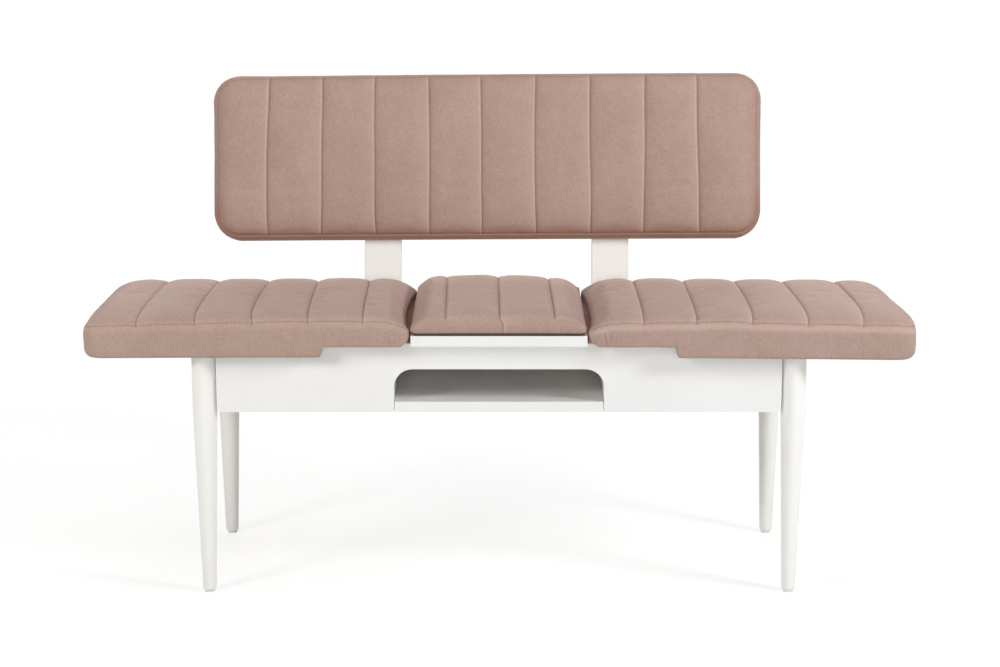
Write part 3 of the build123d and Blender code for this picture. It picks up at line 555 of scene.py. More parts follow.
def seat_cover(name, side):
    """One seat: quilted top, stitched front boxing, deep skirt, notch and gathered inner end."""
    own = SEATS[name]
    half = SEAT_WIDE / 2
    seams = [PITCH * k for k in (-2, -1, 0, 1, 2)]
    stops = np.array([-half, *seams, half])
    inner_x = -side * half
    notch = inner_x + side * NOTCH
    notch = notch - np.interp(notch, stops, (0, *SEAM_SHIFTS[name][0], 0))
    lip_x = -inner_x - side * LIP
    extra = {notch + d for d in (-3.4, -0.7, 0.7, 3.4)} | {lip_x - 1.2, lip_x + 1.2}
    c = Cushion(
        f"{name}_seat_cushion",
        (side * (SEAT_IN + half), FRONT_Y, RAIL_TOP),
        (0, 1, 0),
        (0, 0, 1),
        cross_lines(half, seams, SEAT_CORNER, 15, extra, (1.0, 2.2)[::-side]),
        spread(0, 1, 64, 0.5),
    )
    x, t = c.x, c.t
    from_inner = side * (x - inner_x)
    from_outer = SEAT_WIDE - from_inner
    edge = 40.0 - 7.0 * t
    edge = edge + np.interp(from_inner, *FRONT_WAVES[name]) * bell(t, 0.16)
    bow = 5.0 * (1 - (2 * t - 1) ** 2) if side < 0 else 8.0 * arch(t ** 0.6)
    edge = edge + bow * np.exp(-from_outer / 40)
    outer_end, inner_end = (0.0, 3.0), (13.0, 3.4)
    height = channel_profile(x, t, stops, edge, 12.0, 7.0, (outer_end, inner_end)[::-side])
    fall = corner_fall(x, half, SEAT_CORNER)
    hollow = 1.5 * (1 - (x / half) ** 2)
    front = 2.5 + hollow + fall
    rear = SEAT_DEEP - hollow - fall
    plan_y = front + t * (rear - front)
    draw = 3.0 - own["full"] * bell(t, 0.22, 0.1) + own["slim"] * bell(t, 0.15, 0.55)
    draw = draw * np.exp(-from_outer / 14)
    gather = bumps(SEAT_DEEP * t, 0 * t, 61 + side, 26)
    pulled = 0.6 + own["pulled"] * arch(t, 0.45)
    pulled = (pulled + 1.6 * gather * arch(t, 0.5)) * np.exp(-from_inner / 20)
    plan_x = x - np.sign(x) * np.where(from_inner < half, pulled, draw)
    plan_x = move_seams(plan_x, x, t, stops, name, arch(t ** 0.65))

    rim = c.rim
    in_dist = side * (x[rim] - inner_x)
    out_dist = SEAT_WIDE - in_dist
    at_front = t[rim] < TINY
    at_inner = in_dist < TINY
    at_outer = out_dist < TINY
    sewn = at_front | at_outer
    deep = (at_front & (in_dist > side * (notch - inner_x))) | at_outer | (out_dist < LIP)
    tuck_to, tuck_under = 27.0, 24.0
    tucked = (plan_y[rim] < tuck_to) & ~deep
    skirt = own["lift"] * in_dist / SEAT_WIDE - SKIRT
    on_rail = own["sag"] * in_dist / SEAT_WIDE - 0.5
    low = np.where(deep, skirt, np.where(tucked, on_rail, 0.15))
    gathered = 11.0
    corner = gathered * np.clip(1 - in_dist / 17, 0, 1) ** 1.6
    low = low + np.where(~deep & at_front, corner, 0)
    corner = gathered * np.clip(1 - (plan_y[rim] - 16) / 22, 0, 1) ** 2
    low = low + np.where(at_inner, corner, 0)
    bend, bend_tucked, bend_rear, bend_end = 5.5, 4.0, 3.0, 14.0
    curve = np.where(deep, bend, np.where(tucked, bend_tucked, bend_rear))
    at_corner = bend + (bend_end - bend) * (1 - out_dist / 26)
    curve = np.where(deep & (out_dist < 26), at_corner, curve)
    belly = 3.8 * grow(in_dist, 40)
    edge_z = height[rim]
    back_out = pulled[rim] - 1.4
    shared = np.maximum(6.0, low + curve + 1.0)
    upper, lower = 6, 3
    rows = []
    for k in range(1, upper + lower + 1):
        if k <= upper:
            level = edge_z + (shared - edge_z) * k / upper
        else:
            level = shared + (low + curve - shared) * (k - upper) / lower
        w = (edge_z - level) / (edge_z - low - curve)
        outset = 0.6 * arch(w * 0.9 + 0.05, 0.7)
        round_out = belly * (1 - np.exp((level - edge_z) / 5)) * (1 - 0.35 * w ** 2)
        outset = np.where(at_front, round_out, outset)
        outset = np.where(at_outer, own["end_out"] * np.minimum(1.0, w * 2.5) ** 0.7, outset)
        ledge = max(0.0, (k - upper) / lower) ** 1.3
        outset = np.where(at_inner, 0.6 * (1 - ledge) + back_out * ledge, outset)
        rows.append((outset, level))
    settled = np.where(at_inner, back_out, np.where(at_front, 0.65 * belly, 0.0))
    add_foot(rows, low, curve, np.where(at_outer, own["end_out"], settled))
    depth = np.array([edge_z - level for _, level in rows])
    turn = np.where(at_inner, pulled[rim] + 2.0, 0.9)
    turn = np.where(deep, LIP - curve, np.where(tucked, tuck_under - curve, turn))
    seam_gap = near_seams(x, seams)
    on_seam = (seam_gap < TINY).astype(float)
    pin_top = on_seam.copy()
    pin_top[rim] = np.maximum(pin_top[rim], np.where(sewn, 0.6, 0.4))
    edge_line = np.zeros(len(x))
    edge_line[rim] = sewn
    edge_gap = np.minimum(plan_y - front, np.where(side * x > 0, half - side * plan_x, FAR))
    marks = {
        "crease": (np.maximum(on_seam, 0.4 * edge_line), 0),
        "seam_gap": (seam_gap, FAR),
        "edge_gap": (np.maximum(edge_gap, 0), np.where(sewn[None, :], depth, FAR)),
        "edge_line": (edge_line, 0),
        "wall": (0, depth),
        "turn": (0, turn),
        "inner": (0, at_inner),
    }
    c.shape(plan_x, plan_y, height, rows, pin_top, marks)
    c.points[:, 2] -= own["sag"] * grow(side * (c.points[:, 0] - inner_x), SEAT_WIDE)
    c.side = side
    c.inner_x = inner_x
    room = half - 0.4
    c.sew(
        seams, (-FAR, room) if side < 0 else (-room, FAR), pressure=3.0, cap=3.0,
        lit_side=-side, painted_light=0.9, line=0.84, roll=own["roll"], shade_end=own["shade"],
    )
    return c


def seat_detail(c, seed):
    """Fine folds of a seat: seam grooves, puckers, gathers at the inner corner and end."""

    def fold(p, m):
        x, y, z = p.T
        gap = m["seam_gap"]
        edge = m["edge_gap"]
        wall = m["wall"]
        from_inner = c.side * (x - c.inner_x)
        move = -1.1 * bell(gap, 1.6) + seam_ridge(c, m, 0.6)
        pucker = bumps(x, y, seed, 10, across=2.2, along=0.8)
        move += 0.35 * np.exp(-gap / 8) * (gap > 0.9) * pucker
        move += 0.25 * bumps(x, y, seed + 1, 90) + 0.06 * bumps(x + z, y - z, seed + 2, 24)
        move += -0.7 * bell(edge, 1.5)
        pucker = bumps(x, y + z, seed + 3, 9, across=0.8, along=2.2)
        move += 0.35 * np.exp(-edge / 8) * (edge > 0.9) * pucker
        on_wall = grow(wall, 4)
        roll = bell(wall, 5, 7) * on_wall
        move += 0.3 * roll * (m["share"] < 0.02)
        front = on_wall * (m["share"] < 0.01)
        band = bell(from_inner, 15, 36) * bell(z, 10, 13)
        uneven = seed + 1.5 * bumps(x, z, seed + 6, 30)
        folds = np.sin(2 * math.pi * (x + 0.08 * z * c.side) / 8.2 + uneven)
        move += 2.0 * front * band * (np.clip(folds, -0.2, 1) - 0.3)
        inner = on_wall * np.exp(-np.clip(from_inner, 0, None) / 4)
        middle = grow(np.minimum(y - 12, SEAT_DEEP - 12 - y), 25)
        move += 0.8 * inner * middle * bumps(y, 0.25 * z, seed + 4, 17)
        crown_in = bell(from_inner, 14, 16) * (1 - on_wall) * middle
        move += 0.8 * crown_in * bumps(y, 0.2 * x, seed + 4, 22)
        return move * grow(z + 17.0, 6)

    return fold


def leaf_cover():
    """The leaf's cushion: three seams, soft front edge, sides that pull in."""
    half = LEAF_WIDE / 2
    seams = [-PITCH, 0.0, PITCH]
    stops = np.array([-half, *seams, half])
    c = Cushion(
        "leaf_cushion",
        (-1.0, FRONT_Y + LEAF_FRONT, LEAF_TOP),
        (0, 1, 0),
        (0, 0, 1),
        cross_lines(half, seams, LEAF_CORNER, 15),
        spread(0, 1, 62, 0.6),
    )
    x, t = c.x, c.t
    edge = 29.5 - 5.0 * t
    end = (15.0, 2.8)
    height = channel_profile(x, t, stops, edge, 7.5, 6.0, (end, end), 0.8)
    height = height - 4.4 * t * grow(x - 20, 95)
    fall = corner_fall(x, half, LEAF_CORNER)
    crown = 1 - (x / half) ** 2
    front = 1.2 * crown + fall
    rear = LEAF_DEEP - 2.0 * crown - fall
    plan_y = front + t * (rear - front)
    draw = (1.0 + 3.5 * arch(t, 0.5)) * np.exp((np.abs(x) - half) / 14)
    plan_x = move_seams(x - np.sign(x) * draw, x, t, stops, "leaf")

    rim = c.rim
    at_front = t[rim] < TINY
    at_side = np.abs(x[rim]) > half - TINY
    back_out = draw[rim] - 0.3
    low = np.full(len(rim), 4.0)
    curve = 4.5
    bulge = np.where(at_front, 1.4, 0.4)
    edge_z = height[rim]
    straight = 6
    rows = []
    for k in range(1, straight + 1):
        w = k / straight
        level = edge_z + (low + curve - edge_z) * w
        outset = bulge * arch(w * 0.9 + 0.05, 0.7)
        rows.append((np.where(at_side, back_out * min(1.0, w * 1.4) ** 1.5, outset), level))
    add_foot(rows, low, curve, np.where(at_side, back_out, 0.0))
    depth = np.array([edge_z - level for _, level in rows])
    seam_gap = near_seams(x, seams)
    on_seam = (seam_gap < TINY).astype(float)
    pin_top = on_seam.copy()
    pin_top[rim] = np.maximum(pin_top[rim], 0.35)
    middle = np.abs(x[rim])
    down = at_front & (middle < 60)
    marks = {
        "crease": (on_seam, down & (middle < TINY)),
        "seam_gap": (seam_gap, np.where(down, middle, FAR)),
        "edge_gap": (np.maximum(plan_y - front, 0), depth),
        "wall": (0, depth),
        "turn": (0.0, 0.0),
        "inner": (0, at_side),
    }
    c.shape(plan_x, plan_y, height, rows, pin_top, marks)
    jog = 5.4 * grow(depth, 6) * np.clip(1 - middle / 70, 0, 1)
    c.points[len(x):, 0] += np.where(np.tile(at_front, len(rows)), np.ravel(jog), 0)
    c.sew(
        seams, (-half, half), pressure=2.0, cap=1.4,
        lit_side=1, painted_light=0.9, line=0.88, roll=0.1, shade_end=0.3,
    )
    return c


def leaf_detail(c, seed):
    """Fine folds of the leaf: seam grooves, puckers and cross ripples."""

    def fold(p, m):
        x, y, z = p.T
        gap = m["seam_gap"]
        move = -1.2 * bell(gap, 1.6) + seam_ridge(c, m, 0.8)
        pucker = bumps(x, y, seed, 10, across=2.2, along=0.8)
        move += 0.45 * np.exp(-gap / 9) * (gap > 0.9) * pucker
        move += 0.3 * bumps(x, y, seed + 1, 70) + 0.08 * bumps(x + z, y - z, seed + 2, 22)
        patch = np.clip(0.4 + bumps(x, y, seed + 5, 110), 0, 1)
        move += 0.22 * patch * bumps(x, y, seed + 3, 11, across=5.0, along=0.9)
        on_wall = grow(m["wall"], 4)
        move += 0.4 * on_wall * bumps(x, z, seed + 4, 18, across=1.0, along=3.0)
        return move * grow(z - 4.1, 5)

    return fold


def back_cover():
    """The padded back: ten channels inside a boxed edge that rolls over to the rear."""
    half = PAD_WIDE / 2
    seams = [PAD_PITCH * k - 8.5 for k in (-4, -3, -2, -1, 0, 1, 2, 3, 4)]
    side_in, low_in, top_in = 8.0, 9.5, 5.0
    inner = half - side_in
    stops = np.array([-inner, *seams, inner])
    foot = np.array((-21.5, FRONT_Y + 408.0, 473.0))
    up = np.array((0, math.sin(LEAN), math.cos(LEAN)))
    out = np.array((0, -math.cos(LEAN), math.sin(LEAN)))
    c = Cushion(
        "back_cushion",
        foot + 84.0 * up,
        up,
        out,
        cross_lines(inner, seams, PAD_CORNER, 14),
        spread(0, 1, 50, 0.55),
    )
    x, t = c.x, c.t
    high = PAD_HIGH - low_in - top_in
    fall = corner_fall(x, inner, PAD_CORNER)
    crown = 1 - (x / inner) ** 2
    front = low_in + 0.6 * crown + np.interp(x, (-half, half), (-4.1, 1.2)) + fall
    raised = np.interp(x, (-half, half), (-3.0, 5.5)) + 1.7 * crown
    rear = low_in + high + raised - fall
    plan_y = front + t * (rear - front)
    draw = 1.2 * (1 - (2 * t - 1) ** 2) * (np.abs(x) / inner) ** 8
    plan_x = x - np.sign(x) * draw
    from_low = plan_y - front
    from_top = rear - plan_y
    near = np.minimum(from_low, from_top)
    edge = 37.0 - 7.0 * np.clip(1 - from_low / 80, 0, 1) ** 2
    rise = round_over(grow(near, 48.0))
    end_rise = round_over(grow(inner - np.abs(plan_x), 46.0))
    _, s, _ = in_channel(x, stops)
    puff = 5.5 * (0.15 + 0.85 * rise)
    height = edge + 6.0 * rise * end_rise
    height = height + puff * shoulders(s, PAD_PITCH) * np.minimum(1, 0.25 + end_rise)
    wander = 1.2 * bumps(plan_y, x, 41, 190)
    plan_x = plan_x + wander * grow(inner - np.abs(x), 60) * grow(near, 40)
    plan_x = move_seams(plan_x, x, t, stops, "back", 4 * t * (1 - t))

    rim = c.rim
    rt = t[rim]
    flat = (rt < TINY) | (rt > 1 - TINY)
    corner = grow(np.abs(x[rim]) - (inner - PAD_CORNER), PAD_CORNER)
    straight_in = np.where(rt < 0.5, low_in, top_in)
    outset = np.where(flat, straight_in + (side_in - straight_in) * corner, side_in)
    edge_z = height[rim]
    below = np.where((rt < 0.5) & flat, 1 - corner, 0.0)
    # Wall rows as shares of the outset and depths, at the sides and top, and along the lower edge
    beside = (
        (0.26, 0.9), (0.52, 2.2), (0.76, 4.6), (0.92, 8.5), (1.0, 14.0), (1.0, 19.5), (1.0, 25.0)
    )
    under = (
        (0.18, 1.0), (0.34, 3.0), (0.55, 6.5), (0.76, 11.0), (0.90, 16.0), (0.98, 21.0), (1.0, 25.0)
    )
    rows = []
    for (share, fallen), (share_low, fallen_low) in zip(beside, under):
        fall_here = fallen + (fallen_low - fallen) * below
        rows.append((outset * (share + (share_low - share) * below), edge_z - fall_here))
    add_foot(rows, np.full(len(rim), 0.3), 3.0, outset)
    depth = np.array([edge_z - level for _, level in rows])
    # The deeper rows lose the upper edge's rise, and so end on the panel's straight outline
    slip = -grow(depth - 6, 14) * (rt * raised[rim])[None, :]
    seam_gap = near_seams(x, seams)
    on_seam = (seam_gap < TINY).astype(float)
    pin_top = on_seam.copy()
    pin_top[rim] = 1.0
    edge_line = np.zeros(len(x))
    edge_line[rim] = 1.0
    edge_gap = np.minimum(near, inner - np.abs(plan_x))
    marks = {
        "crease": (np.maximum(on_seam, 0.7 * edge_line), 0),
        "seam_gap": (seam_gap, FAR),
        "edge_gap": (np.maximum(edge_gap, 0), depth),
        "wall": (0, depth),
        "turn": (0, 6.8 + 3.6 * np.clip(1 - 3 * rt, 0, 1)),
        "inner": (0.0, 0.0),
    }
    c.shape(plan_x, plan_y, height, rows, pin_top, marks, slip)
    c.sew(
        seams, (-FAR, FAR), pressure=2.5, cap=2.0,
        lit_side=-1, painted_light=1.0, line=1.0, boxing=0.20, margin=0.45,
    )
    return c


def back_detail(c, seed):
    """Fine folds of the padded back: seam grooves, puckers and the boxed edge's two joins."""

    def fold(p, m):
        x, y, z = p.T
        gap = m["seam_gap"]
        edge = m["edge_gap"]
        move = -1.3 * bell(gap, 1.4) + seam_ridge(c, m, 0.6)
        pucker = bumps(x, y, seed, 9, across=2.2, along=0.8)
        move += 0.3 * np.exp(-gap / 7) * (gap > 0.9) * pucker
        move += 0.2 * bumps(x, y, seed + 1, 90) + 0.05 * bumps(x + z, y - z, seed + 2, 22)
        move += -1.3 * bell(edge, 1.7)
        move += 0.2 * np.exp(-edge / 9) * (edge > 0.9) * bumps(x, y, seed + 3, 10)
        on_wall = grow(m["wall"], 2)
        move += 0.5 * on_wall * bell(m["wall"], 1.4, 1.8)
        at_end = np.abs(x) > PAD_WIDE / 2 - 25
        move += -0.4 * on_wall * at_end * bell(y, 1.6, 148)
        return move * grow(z - 5.0, 8)

    return fold


# Finishes

class Nodes:
    """A node tree in the making."""

    def __init__(self, tree):
        self.tree = tree
        tree.nodes.clear()

    def add(self, kind, inputs=None, **settings):
        """One node, with its settings and inputs."""
        node = self.tree.nodes.new(kind)
        for key, value in settings.items():
            setattr(node, key, value)
        self.feed(node, inputs or {})
        return node

    def feed(self, node, inputs):
        """Link each input to an output of another node, or set its constant."""
        for key, value in inputs.items():
            if isinstance(value, bpy.types.NodeSocket):
                self.tree.links.new(value, node.inputs[key])
            else:
                node.inputs[key].default_value = value

    def math(self, operation, first, second):
        return self.add("ShaderNodeMath", {0: first, 1: second}, operation=operation).outputs[0]

    def seen_directly(self):
        """1 for rays that show a surface to the camera, also in metal and glass, 0 for bounces."""
        path = self.add("ShaderNodeLightPath").outputs
        either = self.math("MAXIMUM", path["Is Camera Ray"], path["Is Glossy Ray"])
        return self.math("MAXIMUM", either, path["Is Transmission Ray"])


class Look(Nodes):
    """A material in the making: one shader and what feeds it."""

    def __init__(self, name):
        self.made = bpy.data.materials.new(name)
        self.made.use_nodes = True
        super().__init__(self.made.node_tree)
        self.shader = self.add("ShaderNodeBsdfPrincipled")
        self.add("ShaderNodeOutputMaterial", {"Surface": self.shader.outputs["BSDF"]})

    def place(self, scale=(1, 1, 1)):
        """The object's own coordinates, in metres, stretched by a scale."""
        where = self.add("ShaderNodeTexCoord").outputs["Object"]
        return self.add("ShaderNodeMapping", {"Vector": where, "Scale": scale}).outputs["Vector"]

    def grain(self, vector, scale, detail=4.0, rough=0.55, bend=0.0):
        """Noise of one size."""
        inputs = {"Scale": scale, "Detail": detail, "Roughness": rough, "Distortion": bend}
        return self.add("ShaderNodeTexNoise", {"Vector": vector, **inputs}).outputs["Fac"]

    def mark(self, name):
        """A value that the mesh carries."""
        return self.add("ShaderNodeAttribute", attribute_name=name).outputs["Fac"]

    def blend(self, *parts):
        """Weighted sum of a few values."""
        total = None
        for value, weight in parts:
            share = self.math("MULTIPLY", value, weight)
            total = share if total is None else self.math("ADD", total, share)
        return total

    def ramp(self, value, *stops):
        """Colours along a value."""
        made = self.add("ShaderNodeValToRGB", {"Fac": value})
        elements = made.color_ramp.elements
        while len(elements) < len(stops):
            elements.new(0.5)
        for element, (at, colour) in zip(elements, stops):
            element.position = at
            element.color = (*colour, 1.0)
        return made.outputs["Color"]

    def mix(self, factor, first, second):
        inputs = {"Factor": factor, "A": first, "B": second}
        return self.add("ShaderNodeMix", inputs, data_type="RGBA").outputs["Result"]

    def level(self, value, low, high):
        """A value from 0 to 1, stretched to another range."""
        inputs = {"Value": value, "To Min": low, "To Max": high}
        return self.add("ShaderNodeMapRange", inputs).outputs["Result"]

    def relief(self, value, strength, distance):
        inputs = {"Height": value, "Strength": strength, "Distance": distance}
        return self.add("ShaderNodeBump", inputs).outputs["Normal"]

    def finish(self, inputs):
        """Feed the shader and give the material."""
        self.feed(self.shader, inputs)
        return self.made


def velvet_material():
    """Velvet: clouded and flecked pile, painted highlight and shade by the seams, a faint sheen."""
    look = Look("velvet_nap")
    where = look.place()
    broad = look.grain(where, 7.0, 3.0, 0.5, 0.6)
    cloud = look.grain(where, 42.0, 5.0, 0.62, 0.4)
    warp = look.grain(look.place((1500, 260, 260)), 1.0, 2.0)
    weft = look.grain(look.place((260, 1300, 1300)), 1.0, 2.0)
    fibre = look.grain(where, 1400.0, 2.0, 0.7)
    pile = look.grain(where, 190.0, 4.0, 0.7)
    fleck = look.grain(where, 430.0, 2.0, 0.7)
    tone = look.blend(
        (broad, 0.16), (cloud, 0.16), (pile, 0.28), (fleck, 0.40),
        (warp, 0.10), (weft, 0.10), (fibre, -0.20),
    )
    colour = look.ramp(
        tone,
        (0.36, (0.368, 0.250, 0.206)),
        (0.5, (0.432, 0.300, 0.251)),
        (0.64, (0.500, 0.360, 0.309)),
    )
    # Painted highlight beside the seams and on the front roll, painted shade in and beside the
    # seams.
    highlight_tone, crease_shade_tone = (0.62, 0.46, 0.40, 1), (0.13, 0.060, 0.042, 1)
    shade_tone = (0.30, 0.12, 0.075, 1)
    colour = look.mix(look.mark("painted_light"), colour, highlight_tone)
    sharp = look.math("POWER", look.mark("crease"), 2.2)
    colour = look.mix(look.math("MULTIPLY", sharp, 0.72), colour, crease_shade_tone)
    # Painted shade on the boxing, inner ends and margin: browner, and with less sheen.
    deep = look.mark("deep")
    colour = look.mix(deep, colour, shade_tone)
    height = look.blend((warp, 0.35), (weft, 0.35), (fibre, 0.3), (pile, 0.6))
    return look.finish({
        "Base Color": colour,
        "Roughness": look.level(cloud, 0.78, 0.95),
        "Specular IOR Level": 0.25,
        "Sheen Weight": look.level(deep, 0.28, 0.02),
        "Sheen Roughness": 0.42,
        "Sheen Tint": (0.95, 0.80, 0.76, 1),
        "Normal": look.relief(height, 0.35, 0.0005),
    })


def thread_material(name, dark, light):
    """Sewing thread with a fine twist."""
    look = Look(name)
    twist = look.grain(look.place(), 2600.0, 2.0)
    return look.finish({
        "Base Color": look.ramp(twist, (0.3, dark), (0.7, light)),
        "Roughness": look.level(twist, 0.5, 0.7),
        "Normal": look.relief(twist, 0.3, 0.0002),
    })


def white_material(name, light, dark, rough, scale, bump):
    """White board or lacquer: faint cloudiness, fine skin texture, slightly uneven gloss."""
    look = Look(name)
    where = look.place()
    cloud = look.grain(where, 5.0, 3.0)
    skin = look.grain(where, scale, 3.0, 0.6)
    tone = look.blend((cloud, 0.75), (skin, 0.25))
    return look.finish({
        "Base Color": look.ramp(tone, (0.35, dark), (0.65, light)),
        "Roughness": look.level(skin, rough - 0.06, rough + 0.08),
        "Specular IOR Level": 0.4,
        "Normal": look.relief(skin, bump, 0.0002),
    })


def wood_material(name, light, dark, rings):
    """Bare wood or ply with its grain across the bench."""
    look = Look(name)
    where = look.place((3.0, 60.0, 60.0))
    fibre = look.grain(where, 6.0, 6.0, 0.65, 0.2)
    figure = look.grain(where, rings, 3.0, 0.5, 1.2)
    tone = look.blend((fibre, 0.45), (figure, 0.55))
    return look.finish({
        "Base Color": look.ramp(tone, (0.34, dark), (0.52, light), (0.7, dark)),
        "Roughness": look.level(fibre, 0.6, 0.85),
        "Normal": look.relief(fibre, 0.25, 0.0004),
    })


def steel_material():
    """Zinc-plated steel, brushed along the bench's width."""
    look = Look("zinc_steel")
    brushed = look.grain(look.place((40, 600, 600)), 1.0, 4.0)
    spangle = look.grain(look.place(), 160.0, 3.0)
    tone = look.blend((brushed, 0.5), (spangle, 0.5))
    return look.finish({
        "Base Color": look.ramp(tone, (0.3, (0.46, 0.46, 0.47)), (0.7, (0.66, 0.66, 0.67))),
        "Roughness": look.level(brushed, 0.28, 0.48),
        "Metallic": 1.0,
        "Normal": look.relief(brushed, 0.1, 0.0001),
    })


def plain_material(name, light, dark, scale, rough, bump):
    """Moulded plastic, foam, lining or painted-shade board: a speckled tone with its own texture.
    """
    look = Look(name)
    speck = look.grain(look.place(), scale, 4.0, 0.65)
    return look.finish({
        "Base Color": look.ramp(speck, (0.35, dark), (0.65, light)),
        "Roughness": look.level(speck, rough - 0.06, rough + 0.06),
        "Normal": look.relief(speck, bump, 0.0005),
    })


def floor_material():
    """A pale floor, seen as white. Near the bench it glows less, and so keeps the shadow."""
    look = Look("studio_floor")
    speck = look.grain(look.place(), 3.0, 2.0)
    own = look.ramp(speck, (0.3, (0.72, 0.72, 0.72)), (0.7, (0.75, 0.75, 0.75)))
    vector = {"Vector": look.place((0.4, 0.4, 0.4))}
    near = look.add("ShaderNodeTexGradient", vector, gradient_type="SPHERICAL").outputs["Fac"]
    seen = look.seen_directly()
    fade = look.math("MULTIPLY", seen, look.level(near, 0.95, 0.40))
    return look.finish({
        "Base Color": look.mix(fade, own, (0, 0, 0, 1)),
        "Roughness": look.level(speck, 0.85, 0.95),
        "Specular IOR Level": 0.1,
        "Emission Color": (1, 1, 1, 1),
        "Emission Strength": look.math("MULTIPLY", seen, look.level(near, 0.975, 0.64)),
    })


velvet = velvet_material()
thread = thread_material("seam_thread", (0.30, 0.19, 0.155), (0.42, 0.29, 0.245))
# Partly painted shade: the front seam's thread is dark to stand in for shade in its stitch holes.
dark_thread = thread_material("front_seam_thread", (0.10, 0.055, 0.040), (0.16, 0.09, 0.07))
board_white = white_material(
    "white_laminate", (0.885, 0.885, 0.875), (0.855, 0.855, 0.842), 0.42, 900.0, 0.05
)
leg_white = white_material(
    "white_lacquer", (0.940, 0.936, 0.908), (0.910, 0.905, 0.874), 0.34, 420.0, 0.06
)
pine = wood_material("pine_across", (0.72, 0.55, 0.35), (0.60, 0.43, 0.25), 2.0)
ply = wood_material("birch_ply", (0.76, 0.62, 0.45), (0.66, 0.51, 0.35), 1.2)
steel = steel_material()
glide = plain_material("pale_nylon", (0.84, 0.83, 0.80), (0.78, 0.77, 0.74), 500.0, 0.45, 0.1)
nylon = plain_material(
    "black_nylon", (0.050, 0.050, 0.052), (0.030, 0.030, 0.032), 500.0, 0.5, 0.1
)
foam = plain_material("foam", (0.80, 0.74, 0.58), (0.66, 0.60, 0.44), 700.0, 0.95, 0.8)
# Painted shade: the leaf cushion's base is dark to stand in for the shadow gap under the cushion.
painted_shadow_base = plain_material(
    "painted_shadow_base", (0.075, 0.052, 0.044), (0.05, 0.034, 0.028), 900.0, 0.85, 0.3
)
lining = plain_material("rear_lining", (0.20, 0.165, 0.15), (0.15, 0.12, 0.108), 1600.0, 0.9, 0.5)

FINISHES = {
    board_white: "front_rail rear_rail left_end_board right_end_board storage_shelf "
    "left_shelf_divider right_shelf_divider leaf_board",
    leg_white: "front_left_leg front_right_leg rear_left_leg rear_right_leg left_back_post "
    "right_back_post",
    pine: "left_front_lip right_front_lip left_end_lip right_end_lip left_front_runner "
    "left_rear_runner right_front_runner right_rear_runner leaf_cleats divider_dowels",
    ply: "left_seat_board right_seat_board back_panel",
    steel: "front_left_brace front_right_brace rear_left_brace rear_right_brace brace_screws "
    "leg_hanger_bolts leg_flange_nuts front_channel rear_channel channel_screws shelf_screws "
    "post_bolts post_nuts back_screws back_tee_nuts left_seat_screws right_seat_screws leaf_screws",
    glide: "leg_glides",
    nylon: "channel_stops left_slide_shoes right_slide_shoes",
    foam: "left_seat_foam right_seat_foam leaf_foam back_foam",
    lining: "back_rear_cloth",
    painted_shadow_base: "leaf_base",
}
for finish, names in FINISHES.items():
    for node in names.split():
        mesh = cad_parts[node].data
        mesh.materials.clear()
        mesh.materials.append(finish)


# Cushions

left = seat_cover("left", -1)
right = seat_cover("right", 1)
leaf = leaf_cover()
back = back_cover()
swell((left, right, leaf, back))
# The last number is how high inside each cover its underside closes
finish_cover(left, seat_detail(left, 11), 8.0)
finish_cover(right, seat_detail(right, 23), 8.0)
finish_cover(leaf, leaf_detail(leaf, 37), 5.0)
finish_cover(back, back_detail(back, 53), 8.0)

for c, body, cover, filling in (
    (left, "left_seat", "left_seat_cover", "left_seat_foam"),
    (right, "right_seat", "right_seat_cover", "right_seat_foam"),
    (leaf, "centre_leaf", "leaf_cover", "leaf_foam"),
    (back, "frame", "back_cover", "back_foam"),
):
    c.obj.data.materials.append(velvet)
    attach(c.obj, body)
    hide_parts(cover, filling)
    m = c.fine_marks
    lines = []
    for seam in c.seams:
        chosen = (m["crease"] > 0.999) & (np.abs(m["across"] - seam) < 0.01)
        lines.append(seam_line(c, chosen, m["share"] - 0.01 * m["wall"]))
    stitches(f"{c.name}_channel_stitches", c, lines, CHANNEL_STITCH, body, thread)

for c, body in ((left, "left_seat"), (right, "right_seat")):
    m = c.fine_marks
    chosen = (m["edge_line"] > 0.999) & (m["share"] < TINY)
    line = seam_line(c, chosen, m["across"])
    stitches(f"{c.name}_front_stitches", c, [line], FRONT_STITCH, body, dark_thread)


# Floor, light and camera

FLOOR_HALF = 30.0
corners = [(x * FLOOR_HALF, y * FLOOR_HALF, 0) for x, y in ((-1, -1), (1, -1), (1, 1), (-1, 1))]
floor_mesh = bpy.data.meshes.new("studio_floor")
floor_mesh.from_pydata(corners, [], [(0, 1, 2, 3)])
floor_mesh.materials.append(floor_material())
floor = add_object("studio_floor", floor_mesh)

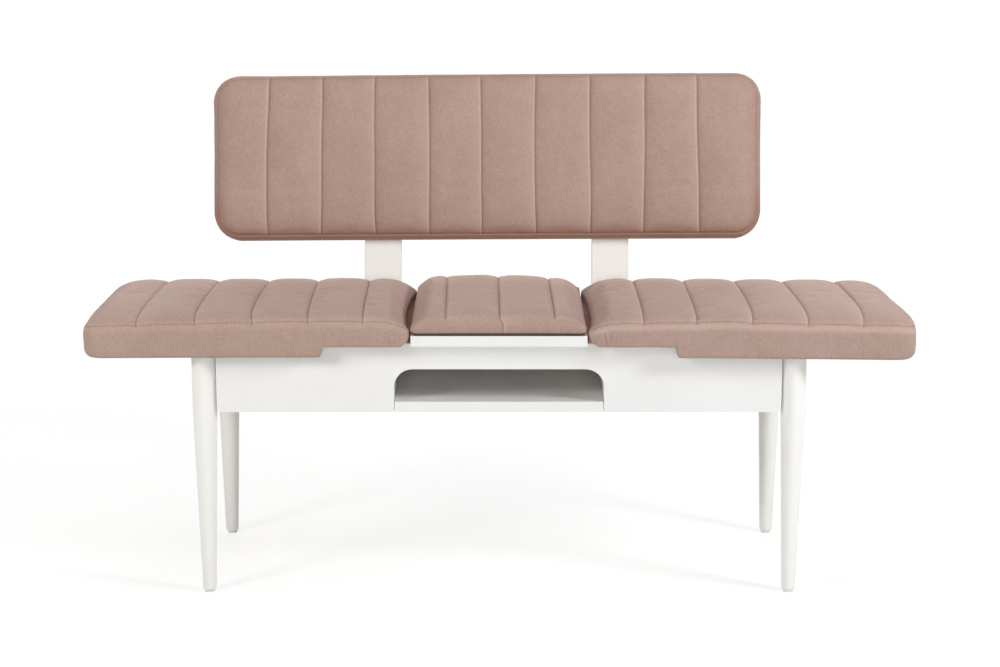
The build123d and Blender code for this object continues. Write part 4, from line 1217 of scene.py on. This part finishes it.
WARM = (1.0, 0.995, 0.985)
scene.world = bpy.data.worlds.new("studio")
scene.world.use_nodes = True
sky = Nodes(scene.world.node_tree)
room = sky.add("ShaderNodeBackground", {"Color": (*WARM, 1), "Strength": 0.18})
white = sky.add("ShaderNodeBackground", {"Color": (1, 1, 1, 1), "Strength": 1.0})
ways = {"Fac": sky.seen_directly(), 1: room.outputs["Background"], 2: white.outputs["Background"]}
both = sky.add("ShaderNodeMixShader", ways)
sky.add("ShaderNodeOutputWorld", {"Surface": both.outputs["Shader"]})

# Name, place and aim in metres, width and height, watts, colour
LAMPS = (
    ("left_box", (-2.34, -2.13, 1.73), (-0.1, -0.25, 0.45), (0.75, 0.7), 34.0, (1.02, 1.0, 0.96)),
    ("right_box", (2.55, -1.35, 1.85), (0.1, -0.25, 0.45), (0.65, 0.6), 47.0, (0.985, 0.995, 1.02)),
    ("front_box", (0.0, -5.2, 1.35), (0.0, 0.0, 0.45), (3.0, 1.6), 58.0, WARM),
    ("overhead_box", (0.0, 0.05, 4.2), (0.0, 0.0, 0.5), (3.0, 2.0), 38.0, WARM),
    ("rear_box", (0.0, 4.8, 2.9), (0.0, 0.0, 0.5), (5.0, 2.0), 95.0, WARM),
)
for name, at, aim, size, power, colour in LAMPS:
    light = bpy.data.lights.new(name, "AREA")
    light.shape = "RECTANGLE"
    light.size, light.size_y = size
    light.energy = power
    light.color = colour
    lamp = add_object(name, light)
    lamp.location = at
    lamp.rotation_euler = (Vector(aim) - Vector(at)).to_track_quat("-Z", "Y").to_euler()

# The camera, fitted to the photograph: focal length in pixels, how far the lens stands before the
# bench in millimetres, its height in metres, and its tilt in degrees
FOCAL_PX = 2301.9
IMAGE_WIDE = 1000.0
SENSOR = 36.0
LENS_BEFORE = 3776.7
LENS_HIGH = 1.2973
TILT = 12.3635
camera_data = bpy.data.cameras.new("camera")
camera_data.sensor_fit = "HORIZONTAL"
camera_data.sensor_width = SENSOR
camera_data.lens = FOCAL_PX * SENSOR / IMAGE_WIDE
camera_data.shift_x = 0.001
camera_data.clip_end = 100.0
camera = add_object("camera", camera_data)
camera.location = (0.0, (FRONT_Y - LENS_BEFORE) * MM, LENS_HIGH)
camera.rotation_euler = (math.radians(90.0 - TILT), 0.0, 0.0)
scene.camera = camera
scene.view_settings.view_transform = "Standard"
